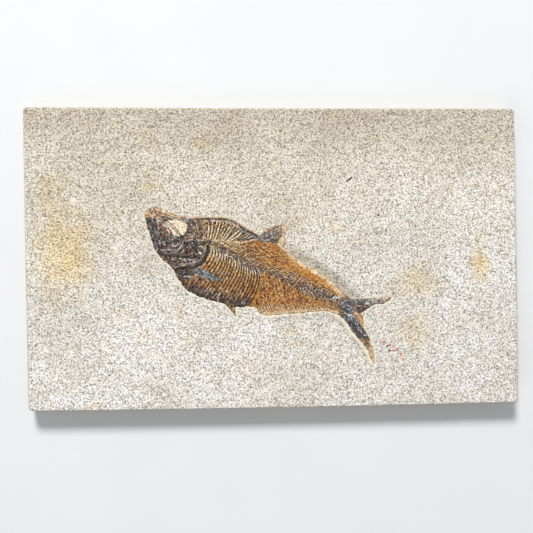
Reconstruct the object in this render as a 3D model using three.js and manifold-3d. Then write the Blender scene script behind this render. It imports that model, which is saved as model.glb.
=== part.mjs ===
// A limestone plate with one fossil fish lying in its face.
// Millimetres, +Z up. The origin is under the middle of the plate, on the sawn back that it rests on.
// +X runs along the plate towards the fish's tail, and +Y across it towards the fish's back.

import * as THREE from "three";
import { mergeVertices } from "three/addons/utils/BufferGeometryUtils.js";
import Module from "manifold-3d";

const wasm = await Module();
wasm.setup();

// ---------------------------------------------------------------- driving dimensions

const SLAB = {
  length: 250,
  width: 153,
  thickness: 13,
  arris: 0.7, // the worn edge between two faces
  cornerReach: 1.6, // how far a rounded corner runs along each edge
};

const BED_DEPTH = 0.75; // the fish's bed, below the face of the slab
const CLEARANCE = 0.3; // between the fish's outline and the wall of its bed
const BED = SLAB.thickness - BED_DEPTH;
const ABOVE_EVERYTHING = SLAB.thickness + 10; // where a cutter that opens upwards ends

const RELIEF = {
  rim: 0.8, // edge of the body, above the bed
  crown: 0.95, // further rise at the thick of the body
  crownReach: 11, // how far in from the edge the crown is full
  fin: 0.9, // the fins, above the bed
  bone: 0.35, // a stout bone, above the skin
  fineBone: 0.22, // a rib or a fin ray, above the skin
};

// A ridge's section: how wide its ends and its top are, as shares of its full width.
const RIDGE = { ends: 0.58, top: 0.55 };

// ---------------------------------------------------------------- the slab's outline

// A saw-cut rectangle, a little out of square: how far each corner lies from the true one.
const HALF = { length: SLAB.length / 2, width: SLAB.width / 2 };
const SLAB_CORNERS = [
  [-HALF.length + 1.2, -HALF.width + 0.7],
  [HALF.length, -HALF.width + 0.1],
  [HALF.length - 1, HALF.width - 0.6],
  [-HALF.length + 0.2, HALF.width],
];
// How far the middle of each edge bows outwards: front, right, back and left.
const EDGE_BOW = [0.6, 0.1, 0.1, 0.5];

// Flakes lost from the arrises: where, how long, how deep, and on which face.
const CHIP_STEEPNESS = 1.4; // a flake's depth down the side, as a share of its depth across the face
const CHIPS = [
  { at: [-124.6, -75.6], length: 5, depth: 1.7, upper: true },
  { at: [-98, -76.2], length: 6, depth: 0.7, upper: true },
  { at: [-31, -76.6], length: 4, depth: 0.6, upper: true },
  { at: [58, -76.9], length: 7, depth: 0.8, upper: true },
  { at: [125.3, -31], length: 5, depth: 0.8, upper: true },
  { at: [124.7, 58], length: 4, depth: 0.6, upper: true },
  { at: [124.2, 75.8], length: 3, depth: 1.1, upper: true },
  { at: [-125.3, 76.4], length: 3.5, depth: 1.2, upper: true },
  { at: [-125.5, 22], length: 6, depth: 0.7, upper: true },
  { at: [20, 76.4], length: 5, depth: 0.6, upper: false },
  { at: [-70, -76.4], length: 8, depth: 0.9, upper: false },
  { at: [125.3, 12], length: 7, depth: 0.9, upper: false },
];

// ---------------------------------------------------------------- the fish's lines

// The back, from the snout to the root of the tail.
const BACK_LINE = [
  [-65, 23.6], [-62, 25.7], [-55, 23.8], [-48, 21.2], [-40, 20.2], [-32, 20.1], [-25, 19.9], [-20, 18],
  [-15, 15], [-8, 10.8], [-2, 9.4], [3.5, 7], [5.8, 2.5], [10, -0.7], [15, -4], [25, -9.9], [30, -14.6],
  [35, -19.4], [38.5, -21.8],
];
// The throat, belly and anal fin, from the snout to the root of the tail.
const BELLY_LINE = [
  [-65.7, 21], [-64.6, 17], [-62.5, 10], [-60, 3], [-56, -1.6], [-52, -5], [-50, -9], [-45, -16],
  [-40, -18.7], [-35, -21], [-28, -22.4], [-20, -25], [-10.5, -25], [-8, -28.4], [-4.5, -29.6],
  [5, -28.8], [15, -28.3], [25, -27.6], [30, -28.8], [35.5, -30.8],
];
const BACKBONE = [
  [-33, 8], [-25, 4], [-20, 1.2], [-15, -1.9], [-10, -4.9], [-4, -7.5], [2, -9.8], [8, -12.4],
  [16, -16.4], [24, -19.6], [30, -22.5], [35, -25.2],
];

// Fins and tail lobes: closed outlines that reach in under the body.
const FINS = {
  dorsal: [
    [-8.5, 9.5], [-5, 12.8], [-1, 15.1], [3, 15.9], [6.4, 15.3], [5, 11.4], [4.6, 6], [0, 4.5], [-5, 6],
  ],
  pelvic: [[-19.6, -23.5], [-20.6, -26.6], [-20, -30], [-23, -26.6], [-26, -21.8], [-22.5, -20]],
  upperLobe: [
    [34, -20.5], [39.5, -21.9], [45, -22], [52, -21.7], [60, -21.1], [56, -24], [49.5, -25.1],
    [46.5, -27.5], [43.4, -28.7], [38, -29], [34, -26],
  ],
  tailWeb: [[38, -26], [43, -28.6], [45, -32], [45.2, -34.6], [44, -36.4], [40.5, -34], [37, -30]],
  lowerLobe: [
    [32.5, -28.8], [36, -33.5], [40, -39], [43.6, -43.6], [46.2, -47], [50.6, -55.6], [50.2, -49.5],
    [48.6, -44.5], [46.8, -39.8], [43, -34], [38.5, -26.5],
  ],
};
// Rays on each fin: a fan from one spread of points to another.
const FIN_RAYS = [
  { count: 6, from: [[-6.5, 10.6], [1.5, 5.5]], to: [[-0.5, 14.6], [4.2, 10.5]] },
  { count: 3, from: [[-24.6, -22.6], [-21.5, -22.6]], to: [[-21.2, -28], [-20.8, -27]] },
  { count: 4, from: [[38, -22.5], [39, -26]], to: [[56, -22.2], [46, -26.6]] },
  { count: 4, from: [[36, -29.8], [39.2, -28.5]], to: [[46.3, -46.2], [47.2, -42.5]] },
];
const FIN_RAY_WIDTH = 0.7;

// Ribs hang from under the backbone to the belly; each is a cubic curve.
const RIBS = {
  count: 20,
  width: 0.75,
  roots: [[-33.5, 5.5], [-27.5, 4], [-20.5, 0.5], [-15, -2.9], [-9, -5.5]],
  tips: [[-45.5, -12.6], [-37.5, -18.7], [-29, -21.2], [-21, -23.7], [-14.6, -24.2]],
  firstBend: [[0.5, -5], [-5, -11]], // the curve's two handles, from the root, on the first rib
  lastBend: [[3, -4.5], [0, -10.5]], // and on the last
};

// The fan of slender bones between the back of the head and the dorsal fin.
const FAN = {
  count: 15,
  width: 0.75,
  roots: [[-36, 10.5], [-33, 9.5], [-29.5, 9.5], [-25, 9.8], [-18, 9.2]],
  tips: [[-37.5, 18], [-31, 18.3], [-24, 17.3], [-17.5, 14.4], [-10, 11]],
};

// Stout bones of the skull and shoulder, each along its own middle line.
const BONES = {
  backbone: { line: BACKBONE, width: 2.2 },
  shoulder: {
    line: [[-34.2, 6], [-34.6, 2.5], [-36.5, -1.3], [-41, -4.6], [-46, -4.5], [-50, -5.1]],
    width: 1.5,
  },
  jaw: { line: [[-58.5, 3], [-55, 1.6], [-50, 1.1], [-46, 0.5], [-42, 0.6]], width: 1.6 },
  cheek: { line: [[-45, 7.5], [-47, 4], [-49, 2]], width: 1.1 },
  snout: { line: [[-63.3, 19], [-61.8, 13], [-60.4, 8], [-58.6, 4.4]], width: 1.4 },
  skullRoof: { line: [[-62.5, 22.8], [-57, 22], [-50, 19.9], [-44.5, 18.8]], width: 1.6 },
  pectoralFin: { line: [[-40, -5.5], [-35, -8], [-29.5, -11]], width: 2.2 },
};
const GILL_COVER = [
  [-45.6, 6.5], [-42, 8.4], [-38, 7], [-36.9, 3.4], [-38.2, 0.4], [-42, 1.6], [-45.4, 2],
];
const EYE_SOCKET = [
  [-55, 18.6], [-48.5, 18.8], [-44.6, 16.5], [-45.4, 12.7], [-49, 11.4], [-53, 13], [-56, 15.8],
];
const EYE_SOCKET_FLOOR = RELIEF.rim + 0.45 * RELIEF.crown; // above the bed

// How finely curves are divided.
const STEPS = { bodyStations: 40, bodyLanes: 6, finOutline: 44, rib: 4, bone: 9, ray: 1 };

// ---------------------------------------------------------------- curves

function curveThrough(points, closed = false) {
  const knots = points.map(([x, y]) => new THREE.Vector3(x, y, 0));
  return new THREE.CatmullRomCurve3(knots, closed, "centripetal");
}

function flatPoints(curve, divisions) {
  return curve.getSpacedPoints(divisions).map(({ x, y }) => new THREE.Vector2(x, y));
}

function closedOutline(points) {
  const outline = flatPoints(curveThrough(points, true), STEPS.finOutline);
  outline.pop(); // the last point repeats the first
  return outline;
}

// Every point of a closed outline moved outwards by the same distance.
function grow(outline, distance) {
  const outwards = THREE.ShapeUtils.isClockWise(outline) ? -1 : 1;
  return outline.map((point, index) => {
    const before = outline[(index + outline.length - 1) % outline.length];
    const after = outline[(index + 1) % outline.length];
    const along = after.clone().sub(before).normalize();
    const step = distance * outwards;
    return new THREE.Vector2(point.x + along.y * step, point.y - along.x * step);
  });
}

function distanceToOutline(x, y, outline) {
  const point = new THREE.Vector3(x, y, 0);
  const nearest = new THREE.Vector3();
  let least = Infinity;
  outline.forEach((start, index) => {
    const end = outline[(index + 1) % outline.length];
    const side = new THREE.Line3(new THREE.Vector3(start.x, start.y, 0), new THREE.Vector3(end.x, end.y, 0));
    side.closestPointToPoint(point, true, nearest);
    least = Math.min(least, nearest.distanceTo(point));
  });
  return least;
}

// ---------------------------------------------------------------- solids

function toSolid(geometry) {
  const bare = geometry.clone();
  bare.deleteAttribute("normal");
  bare.deleteAttribute("uv");
  const merged = mergeVertices(bare);
  return new wasm.Manifold(
    new wasm.Mesh({
      numProp: 3,
      vertProperties: new Float32Array(merged.attributes.position.array),
      triVerts: new Uint32Array(merged.index.array),
    }),
  );
}

function toGeometry(solid) {
  const mesh = solid.getMesh();
  const geometry = new THREE.BufferGeometry();
  geometry.setAttribute("position", new THREE.BufferAttribute(mesh.vertProperties, 3));
  geometry.setIndex(new THREE.BufferAttribute(mesh.triVerts, 1));
  geometry.computeVertexNormals();
  return geometry;
}

// An outline raised straight up from one height to another.
function plate(outline, bottom, top) {
  const geometry = new THREE.ExtrudeGeometry(new THREE.Shape(outline), {
    depth: top - bottom,
    bevelEnabled: false,
  });
  geometry.translate(0, 0, bottom);
  return toSolid(geometry);
}

// A closed skin over a row of rings, all with the same number of points, and a fan of triangles at each end.
function loft(rings) {
  const size = rings[0].length;
  const triangles = [];
  for (let ring = 0; ring < rings.length - 1; ring += 1) {
    for (let side = 0; side < size; side += 1) {
      const here = ring * size + side;
      const beside = ring * size + ((side + 1) % size);
      triangles.push(here, here + size, beside, beside, here + size, beside + size);
    }
  }
  const lastRing = (rings.length - 1) * size;
  for (let side = 1; side < size - 1; side += 1) {
    triangles.push(0, side, side + 1);
    triangles.push(lastRing, lastRing + side + 1, lastRing + side);
  }
  const geometry = new THREE.BufferGeometry();
  geometry.setAttribute("position", new THREE.Float32BufferAttribute(rings.flat(2), 3));
  geometry.setIndex(triangles);
  return toSolid(geometry);
}

// A low bar along a line, with sloping sides, from inside the bed up to a height that may follow the skin.
function ridge(points, width, steps, topAt) {
  const curve = curveThrough(points);
  const rings = [];
  for (let step = 0; step <= steps; step += 1) {
    const share = step / steps;
    const { x, y } = curve.getPointAt(share);
    const along = curve.getTangentAt(share);
    const foot = (width / 2) * (RIDGE.ends + (1 - RIDGE.ends) * Math.sin(Math.PI * share));
    const shoulder = foot * RIDGE.top;
    const low = BED + RELIEF.rim / 2;
    const high = topAt(x, y);
    const offset = (distance, z) => [x + along.y * distance, y - along.x * distance, z];
    rings.push([offset(-foot, low), offset(foot, low), offset(shoulder, high), offset(-shoulder, high)]);
  }
  return loft(rings);
}

// ---------------------------------------------------------------- the fish

const backLine = curveThrough(BACK_LINE);
const bellyLine = curveThrough(BELLY_LINE);
const bodyOutline = [
  ...flatPoints(bellyLine, STEPS.bodyStations),
  ...flatPoints(backLine, STEPS.bodyStations).reverse(),
];

// Height of the skin over the body: a rounded shoulder near the edge, and level further in.
function skinAt(x, y) {
  const inwards = Math.min(distanceToOutline(x, y, bodyOutline) / RELIEF.crownReach, 1);
  return BED + RELIEF.rim + RELIEF.crown * Math.sqrt(1 - (1 - inwards) ** 2);
}

function bodySolid() {
  const rings = [];
  for (let station = 0; station <= STEPS.bodyStations; station += 1) {
    const share = station / STEPS.bodyStations;
    const belly = bellyLine.getPointAt(share);
    const back = backLine.getPointAt(share);
    const ring = [[back.x, back.y, BED], [belly.x, belly.y, BED]];
    for (let lane = 0; lane <= STEPS.bodyLanes; lane += 1) {
      const { x, y } = belly.clone().lerp(back, lane / STEPS.bodyLanes);
      ring.push([x, y, skinAt(x, y)]);
    }
    rings.push(ring);
  }
  return loft(rings);
}

function finSolids() {
  return Object.values(FINS).map((points) => plate(closedOutline(points), BED, BED + RELIEF.fin));
}

function between([start, end], share) {
  return [start[0] + (end[0] - start[0]) * share, start[1] + (end[1] - start[1]) * share];
}

function finRaySolids() {
  const top = () => BED + RELIEF.fin + RELIEF.fineBone;
  return FIN_RAYS.flatMap(({ count, from, to }) =>
    Array.from({ length: count }, (_, ray) => {
      const share = ray / (count - 1);
      return ridge([between(from, share), between(to, share)], FIN_RAY_WIDTH, STEPS.ray, top);
    }),
  );
}

function ribSolids() {
  const roots = curveThrough(RIBS.roots);
  const tips = curveThrough(RIBS.tips);
  const onRib = (x, y) => skinAt(x, y) + RELIEF.fineBone;
  return Array.from({ length: RIBS.count }, (_, rib) => {
    const share = rib / (RIBS.count - 1);
    const root = roots.getPointAt(share);
    const tip = tips.getPointAt(share);
    const bends = [0, 1].map((handle) => between([RIBS.firstBend[handle], RIBS.lastBend[handle]], share));
    const curve = new THREE.CubicBezierCurve(
      new THREE.Vector2(root.x, root.y),
      new THREE.Vector2(root.x + bends[0][0], root.y + bends[0][1]),
      new THREE.Vector2(root.x + bends[1][0], root.y + bends[1][1]),
      new THREE.Vector2(tip.x, tip.y),
    );
    const line = curve.getPoints(STEPS.rib).map(({ x, y }) => [x, y]);
    return ridge(line, RIBS.width, STEPS.rib, onRib);
  });
}

function fanSolids() {
  const roots = curveThrough(FAN.roots);
  const tips = curveThrough(FAN.tips);
  const onBone = (x, y) => skinAt(x, y) + RELIEF.fineBone;
  return Array.from({ length: FAN.count }, (_, bone) => {
    const share = bone / (FAN.count - 1);
    const root = roots.getPointAt(share);
    const tip = tips.getPointAt(share);
    return ridge([[root.x, root.y], [tip.x, tip.y]], FAN.width, STEPS.ray, onBone);
  });
}

function stoutBoneSolids() {
  const onBone = (x, y) => skinAt(x, y) + RELIEF.bone;
  return Object.values(BONES).map(({ line, width }) => ridge(line, width, STEPS.bone, onBone));
}

function gillCoverSolid() {
  const top = BED + RELIEF.rim + RELIEF.crown + RELIEF.bone;
  return plate(closedOutline(GILL_COVER), BED + RELIEF.rim / 2, top);
}

function eyeSocketCutter() {
  return plate(closedOutline(EYE_SOCKET), BED + EYE_SOCKET_FLOOR, ABOVE_EVERYTHING);
}

function fishSolid() {
  const pieces = [
    ...finSolids(),
    ...finRaySolids(),
    ...ribSolids(),
    ...fanSolids(),
    ...stoutBoneSolids(),
    gillCoverSolid(),
  ];
  return pieces.reduce((whole, piece) => whole.add(piece), bodySolid()).subtract(eyeSocketCutter());
}

// ---------------------------------------------------------------- the slab

function slabShape() {
  const corners = SLAB_CORNERS.map(([x, y]) => new THREE.Vector2(x, y));
  const edges = corners.map((corner, index) => {
    const next = corners[(index + 1) % corners.length];
    const along = next.clone().sub(corner).normalize();
    const start = corner.clone().addScaledVector(along, SLAB.cornerReach);
    const end = next.clone().addScaledVector(along, -SLAB.cornerReach);
    const outwards = new THREE.Vector2(along.y, -along.x);
    const pull = start.clone().lerp(end, 0.5).addScaledVector(outwards, 2 * EDGE_BOW[index]);
    return { corner, start, pull, end };
  });
  const lastEnd = edges[edges.length - 1].end;
  const shape = new THREE.Shape();
  shape.moveTo(lastEnd.x, lastEnd.y);
  edges.forEach(({ corner, start, pull, end }) => {
    shape.quadraticCurveTo(corner.x, corner.y, start.x, start.y);
    shape.quadraticCurveTo(pull.x, pull.y, end.x, end.y);
  });
  return shape;
}

function slabBlank() {
  const geometry = new THREE.ExtrudeGeometry(slabShape(), {
    depth: SLAB.thickness - 2 * SLAB.arris,
    bevelThickness: SLAB.arris,
    bevelSize: SLAB.arris,
    bevelOffset: -SLAB.arris,
    bevelSegments: 2,
    curveSegments: 8,
  });
  geometry.translate(0, 0, SLAB.arris);
  return toSolid(geometry);
}

// A flake: a flattened ball that bites into the arris, turned along the edge it sits on.
function chipCutter({ at, length, depth, upper }) {
  const [x, y] = at;
  const onLongEdge = HALF.width - Math.abs(y) < HALF.length - Math.abs(x);
  const [acrossX, acrossY] = onLongEdge ? [length / 2, depth] : [depth, length / 2];
  const geometry = new THREE.IcosahedronGeometry(1, 1);
  geometry.scale(acrossX, acrossY, depth * CHIP_STEEPNESS);
  geometry.translate(x, y, upper ? SLAB.thickness : 0);
  return toSolid(geometry);
}

function bedCutters() {
  const outlines = [bodyOutline, ...Object.values(FINS).map(closedOutline)];
  return outlines.map((outline) => plate(grow(outline, CLEARANCE), BED, ABOVE_EVERYTHING));
}

function slabSolid() {
  const cutters = [...bedCutters(), ...CHIPS.map(chipCutter)];
  return cutters.reduce((slab, cutter) => slab.subtract(cutter), slabBlank());
}

// ---------------------------------------------------------------- the scene graph

const limestone = new THREE.MeshStandardMaterial({ color: 0xd9d1c3, roughness: 0.92, metalness: 0 });
const fossilBone = new THREE.MeshStandardMaterial({ color: 0x7a5a3c, roughness: 0.6, metalness: 0 });

function namedMesh(name, solid, material) {
  const mesh = new THREE.Mesh(toGeometry(solid), material);
  mesh.name = name;
  return mesh;
}

const fossilSlab = new THREE.Group();
fossilSlab.add(namedMesh("matrix_slab", slabSolid(), limestone));
fossilSlab.add(namedMesh("fossil_fish", fishSolid(), fossilBone));

// The origin goes under the middle of the slab.
const middle = new THREE.Box3().setFromObject(fossilSlab).getCenter(new THREE.Vector3());
fossilSlab.position.set(-middle.x, -middle.y, 0);

export default fossilSlab;
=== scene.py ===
"""The looks of a fossil fish slab: a limestone plate with a flattened fish in low relief in its face.

Both pieces are height fields. Plans (x and y) are in millimetres from the middle of the slab, with +X towards
the fish's tail and +Y towards its back. Heights are in millimetres above the slab's face. Lines and patches
laid on a plan give each point its height and its shares of a few tints, which the node materials then colour.
"""

import math

import bpy
import numpy as np
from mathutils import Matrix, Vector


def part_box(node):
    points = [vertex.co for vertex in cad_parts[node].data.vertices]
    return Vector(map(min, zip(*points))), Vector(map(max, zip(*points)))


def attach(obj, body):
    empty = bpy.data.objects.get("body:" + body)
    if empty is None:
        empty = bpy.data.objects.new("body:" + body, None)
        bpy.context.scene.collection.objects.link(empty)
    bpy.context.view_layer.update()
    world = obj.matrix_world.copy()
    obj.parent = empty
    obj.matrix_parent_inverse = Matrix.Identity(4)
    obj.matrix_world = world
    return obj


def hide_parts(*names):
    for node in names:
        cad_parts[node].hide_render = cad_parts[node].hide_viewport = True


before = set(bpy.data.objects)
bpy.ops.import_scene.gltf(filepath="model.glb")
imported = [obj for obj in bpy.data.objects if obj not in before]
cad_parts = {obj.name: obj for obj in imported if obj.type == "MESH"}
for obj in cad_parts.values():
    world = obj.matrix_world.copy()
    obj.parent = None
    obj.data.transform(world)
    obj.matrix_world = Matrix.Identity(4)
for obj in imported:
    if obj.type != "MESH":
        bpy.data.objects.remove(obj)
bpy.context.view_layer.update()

slab_low, slab_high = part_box("matrix_slab")
fish_low, fish_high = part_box("fossil_fish")

MM = 0.001
FACE = slab_high.z  # the height of the slab's face, in metres
THICKNESS = (slab_high.z - slab_low.z) / MM
HALF_LENGTH = (slab_high.x - slab_low.x) / 2 / MM
HALF_WIDTH = (slab_high.y - slab_low.y) / 2 / MM

# ------------------------------------------------------------------ numbers and noise

LATTICE = 256  # cells each way before the noise repeats
OCTAVE_STEP = 31  # from one octave's seed to the next; every use of a noise has a seed of its own


def smooth(low, high, value):
    """0 before low, 1 after high, and an even S between them. low may be the larger one."""
    share = np.clip((value - low) / (high - low), 0, 1)
    return share * share * (3 - 2 * share)


def lattice_noise(x, y, seed):
    """Gradient noise with a period of about one unit, mostly from -1 to 1."""
    angle = np.random.default_rng(seed).uniform(0, 2 * np.pi, (LATTICE, LATTICE))
    column = np.floor(x).astype(int)
    row = np.floor(y).astype(int)
    across, up = x - column, y - row

    def corner(right, above):
        turn = angle[(column + right) % LATTICE, (row + above) % LATTICE]
        return np.cos(turn) * (across - right) + np.sin(turn) * (up - above)

    blend_x = across**3 * (across * (across * 6 - 15) + 10)
    blend_y = up**3 * (up * (up * 6 - 15) + 10)
    below = corner(0, 0) + blend_x * (corner(1, 0) - corner(0, 0))
    over = corner(0, 1) + blend_x * (corner(1, 1) - corner(0, 1))
    return 1.5 * (below + blend_y * (over - below))


def fractal(x, y, size, seed, octaves=3):
    """Noise with features of `size` millimetres and finer ones, each octave half the size of the last."""
    total = 0
    for octave in range(octaves):
        scale = 2**octave / size
        total = total + lattice_noise(x * scale, y * scale, seed + OCTAVE_STEP * octave) / 2**octave
    return total / (2 - 0.5 ** (octaves - 1))


def turned(x, y, degrees):
    """The same points measured along and across a direction."""
    angle = math.radians(degrees)
    return x * math.cos(angle) + y * math.sin(angle), y * math.cos(angle) - x * math.sin(angle)


# ------------------------------------------------------------------ lines on the plan


def spline(points, steps=8, closed=False):
    """A smooth curve through the points, as a line of short straight pieces."""
    knots = np.array(points, float)
    if closed:
        padded = np.vstack([knots[-1:], knots, knots[:2]])
    else:
        padded = np.vstack([2 * knots[0] - knots[1], knots, 2 * knots[-1] - knots[-2]])
    t = np.linspace(0, 1, steps, endpoint=False)[:, None]
    spans = []
    for a, b, c, d in zip(padded, padded[1:], padded[2:], padded[3:]):
        spans.append(b + 0.5 * t * (c - a + t * (2 * a - 5 * b + 4 * c - d + t * (3 * (b - c) + d - a))))
    last = knots[:1] if closed else knots[-1:]
    return np.vstack([*spans, last])


def loop(points):
    """A smooth closed outline through the points, which doesn't repeat its first point."""
    return spline(points, closed=True)[:-1]


def spaced(count):
    """Each number up to count, with its share of the way from the first to the last."""
    return [(index, index / (count - 1)) for index in range(count)]


def part_way(first, last, share):
    """The point a given share of the way straight from first to last."""
    return np.array(first) * (1 - share) + np.array(last) * share


def place_on(line, share):
    """The point a given share of the way along a line."""
    length = np.concatenate([[0], np.cumsum(np.hypot(*np.diff(line, axis=0).T))])
    wanted = np.asarray(share) * length[-1]
    return np.stack([np.interp(wanted, length, line[:, 0]), np.interp(wanted, length, line[:, 1])], -1)


def nearest(x, y, line):
    """For each point: how far it is from the line, how far along that is, and on which side it lies."""
    step = np.diff(line, axis=0)
    length = np.maximum(np.hypot(*step.T), 1e-9)
    before = np.concatenate([[0], np.cumsum(length)])
    distance = np.full(x.shape, np.inf)
    share = np.zeros(x.shape)
    side = np.zeros(x.shape)
    for index, (dx, dy) in enumerate(step):
        px, py = x - line[index, 0], y - line[index, 1]
        along = np.clip((px * dx + py * dy) / length[index] ** 2, 0, 1)
        gap = np.hypot(px - along * dx, py - along * dy)
        nearer = gap < distance
        distance = np.where(nearer, gap, distance)
        share = np.where(nearer, (before[index] + along * length[index]) / before[-1], share)
        side = np.where(nearer, np.sign(dx * py - dy * px), side)
    return distance, share, side


def depth_inside(x, y, outline):
    """How far inside a closed outline each point lies; outside is negative."""
    closed = np.vstack([outline, outline[:1]])
    distance = nearest(x, y, closed)[0]
    inside = np.zeros(x.shape, bool)
    for (ax, ay), (bx, by) in zip(closed, closed[1:]):
        if ay == by:
            continue
        crosses = ((ay > y) != (by > y)) & (x < (bx - ax) * (y - ay) / (by - ay) + ax)
        inside ^= crosses
    return np.where(inside, distance, -distance)


# ------------------------------------------------------------------ a surface seen from above

WIDTH_SWING = 0.3  # how far a stroke's width wanders, as a share of it
WIDTH_PERIOD = 1.3  # over what length it does so
BREAK_PERIOD = 1.1  # about how far apart the gaps in a broken stroke are
RIDGE_SPREAD = 1.15  # a stroke's ridge is this much wider than its colour
TOOTH = 1.8  # the size of the teeth on a patch's ragged edge
SPLINTER_BEND = 0.4  # the most that a splinter is bent, as a share of its half length

chance = np.random.default_rng(17)


class Plan:
    """Points seen from above. Each has a relief, its height over the plain skin, and shares of all tints."""

    def __init__(self, x, y, tints, ground):
        self.x, self.y = x, y
        self.relief = np.zeros(x.shape)
        self.tints = {name: np.zeros(x.shape) for name in tints}
        self.tints[ground][:] = 1

    def lay(self, tint, amount, where=slice(None)):
        """Covers what is there with a tint, as one coat of paint covers another."""
        for share in self.tints.values():
            share[where] *= 1 - amount
        self.tints[tint][where] += amount

    def near(self, line, reach):
        """Which points lie in the box round a line, widened by reach."""
        low, high = line.min(0) - reach, line.max(0) + reach
        return np.flatnonzero(
            (self.x > low[0]) & (self.x < high[0]) & (self.y > low[1]) & (self.y < high[1])
        )

    def stroke(self, points, width, tint, strength=1.0, rise=0.0, ends=(0.5, 0.5), edge=0.12, broken=0.35,
               seed=0):
        """A line of bone: rounded across, thinner towards its ends, uneven and here and there broken."""
        line = spline(points)
        where = self.near(line, width + edge)
        x, y = self.x[where], self.y[where]
        distance, share, _ = nearest(x, y, line)
        taper = np.interp(share, [0, 0.5, 1], [ends[0], 1, ends[1]])
        uneven = 1 + WIDTH_SWING * lattice_noise(x / WIDTH_PERIOD + seed, y / WIDTH_PERIOD, 11)
        half = width / 2 * taper * uneven
        whole = 1 - broken * smooth(0.1, 0.6, lattice_noise(x / BREAK_PERIOD, y / BREAK_PERIOD + seed, 12))
        self.lay(tint, strength * whole * smooth(half + edge, half - edge, distance), where)
        if rise:
            bump = rise * taper * np.sqrt(np.clip(1 - (distance / (half * RIDGE_SPREAD)) ** 2, 0, 1))
            self.relief[where] = np.maximum(self.relief[where], bump)

    def patch(self, points, tint, strength=1.0, rise=0.0, edge=0.6, ragged=0.5):
        """An area with a soft, ragged edge."""
        outline = loop(points)
        where = self.near(outline, 2 * edge + ragged)
        x, y = self.x[where], self.y[where]
        inside = depth_inside(x, y, outline) + ragged * fractal(x, y, TOOTH, 23, 2)
        cover = smooth(-edge, edge, inside)
        self.lay(tint, strength * cover, where)
        if rise:
            self.relief[where] += rise * cover

    def scatter(self, outline, count, tints, length=(0.8, 2.2), width=(0.3, 0.6), heading=0, spread=90,
                rise=0.1, strength=0.85):
        """Splinters strewn over an area: short strokes, each with a chance direction and tint."""
        tints = tints.split()
        outline = np.array(outline, float)
        low, high = outline.min(0), outline.max(0)
        tried = chance.uniform(low, high, (count * 4, 2))
        for spot in tried[depth_inside(tried[:, 0], tried[:, 1], outline) > 0][:count]:
            turn = math.radians(heading + chance.uniform(-spread, spread))
            half = np.array([math.cos(turn), math.sin(turn)]) * chance.uniform(*length) / 2
            bend = np.array([-half[1], half[0]]) * chance.uniform(-SPLINTER_BEND, SPLINTER_BEND)
            tint = tints[chance.integers(len(tints))]
            self.stroke([spot - half, spot + bend, spot + half], chance.uniform(*width), tint, strength,
                        rise if tint != "umber" else 0, ends=(0.5, 0.5), broken=0)

    def mottle(self, tint, amount, size, seed, within=1.0, level=0.1, contrast=0.35, stretch=None):
        """Blotches of a tint. stretch is (degrees, ratio) for streaks that run in one direction."""
        x, y = self.x, self.y
        if stretch:
            along, across = turned(x, y, stretch[0])
            x, y = along / stretch[1], across
        blotch = smooth(level - contrast, level + contrast, fractal(x, y, size, seed))
        self.lay(tint, amount * blotch * within)


# ------------------------------------------------------------------ the fish's lines

BACKBONE = spline([
    (-34, 8.3), (-25, 4), (-20, 1.2), (-15, -1.9), (-10, -4.9), (-4, -7.5), (2, -9.8), (8, -12.4),
    (16, -16.4), (24, -19.6), (30, -22.4), (35.5, -25.4),
])
RIB_ROOTS = spline([(-33.5, 5.6), (-27.5, 3.8), (-20.8, 0.6), (-15.6, -2.2), (-11, -4.2)])
RIB_TIPS = spline([(-45.5, -12.6), (-37.5, -18.9), (-29, -21.6), (-21, -24.2), (-14.6, -24.9)])
# A rib's two handles, from its root: each on the first rib and on the last.
RIB_BENDS = (((1.6, -4), (5.5, -5.2)), ((-3.8, -9.4), (2.4, -12)))
RIB_COUNT = 20
BELLY = spline([(-52, -5), (-50, -9), (-45, -16), (-40, -18.7), (-35, -21), (-28, -22.4), (-20, -25),
                (-12, -25.2)])

FAN_ROOTS = spline([(-36, 10.5), (-33, 9.3), (-30, 8.9), (-25.5, 8.9), (-17.5, 8.4)])
FAN_TIPS = spline([(-36, 17.6), (-28.6, 18.4), (-20.8, 16.4), (-14.2, 13.2), (-7.8, 10.4)])
FAN_COUNT = 17

EYE_SOCKET = [(-55, 18.6), (-51, 19.2), (-47.5, 18.6), (-44.6, 16.5), (-45.2, 12.8), (-48.6, 11.2),
              (-52.4, 12.6), (-56, 15.8)]
GILL_COVER = [(-45.6, 6.5), (-42, 8.6), (-38.6, 7.2), (-37.2, 3.6), (-38.4, 0.6), (-42, 1.2), (-45.2, 2)]
HEAD = [(-66, 20.6), (-57.5, 20.6), (-44, 20.4), (-38, 18), (-36, 12), (-35.5, 6), (-36.2, 0), (-40, -4),
        (-43, -6), (-44, -12), (-47, -14.5), (-54, -6), (-60, 0), (-64, 10)]


def fish_outline():
    """The edge of the fish on its bed: the closed line round the underside of the CAD piece."""
    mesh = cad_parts["fossil_fish"].data
    spots = [tuple(round(c / MM, 3) for c in v.co) for v in mesh.vertices]
    bed = min(spot[2] for spot in spots)
    edges = {}
    for polygon in mesh.polygons:
        corners = [spots[v] for v in polygon.vertices]
        if all(abs(spot[2] - bed) < 1e-3 for spot in corners):
            for here, there in zip(corners, corners[1:] + corners[:1]):
                key = frozenset((here, there))
                edges[key] = edges.get(key, 0) + 1
    beside = {}
    for (here, there) in (tuple(key) for key, count in edges.items() if count == 1):
        beside.setdefault(here, []).append(there)
        beside.setdefault(there, []).append(here)
    start = min(beside)
    line, previous, spot = [start], None, start
    while True:
        following = [s for s in beside[spot] if s != previous][0]
        if following == start:
            break
        line.append(following)
        previous, spot = spot, following
    return np.array(line)[:, :2]


OUTLINE = fish_outline()


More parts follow.
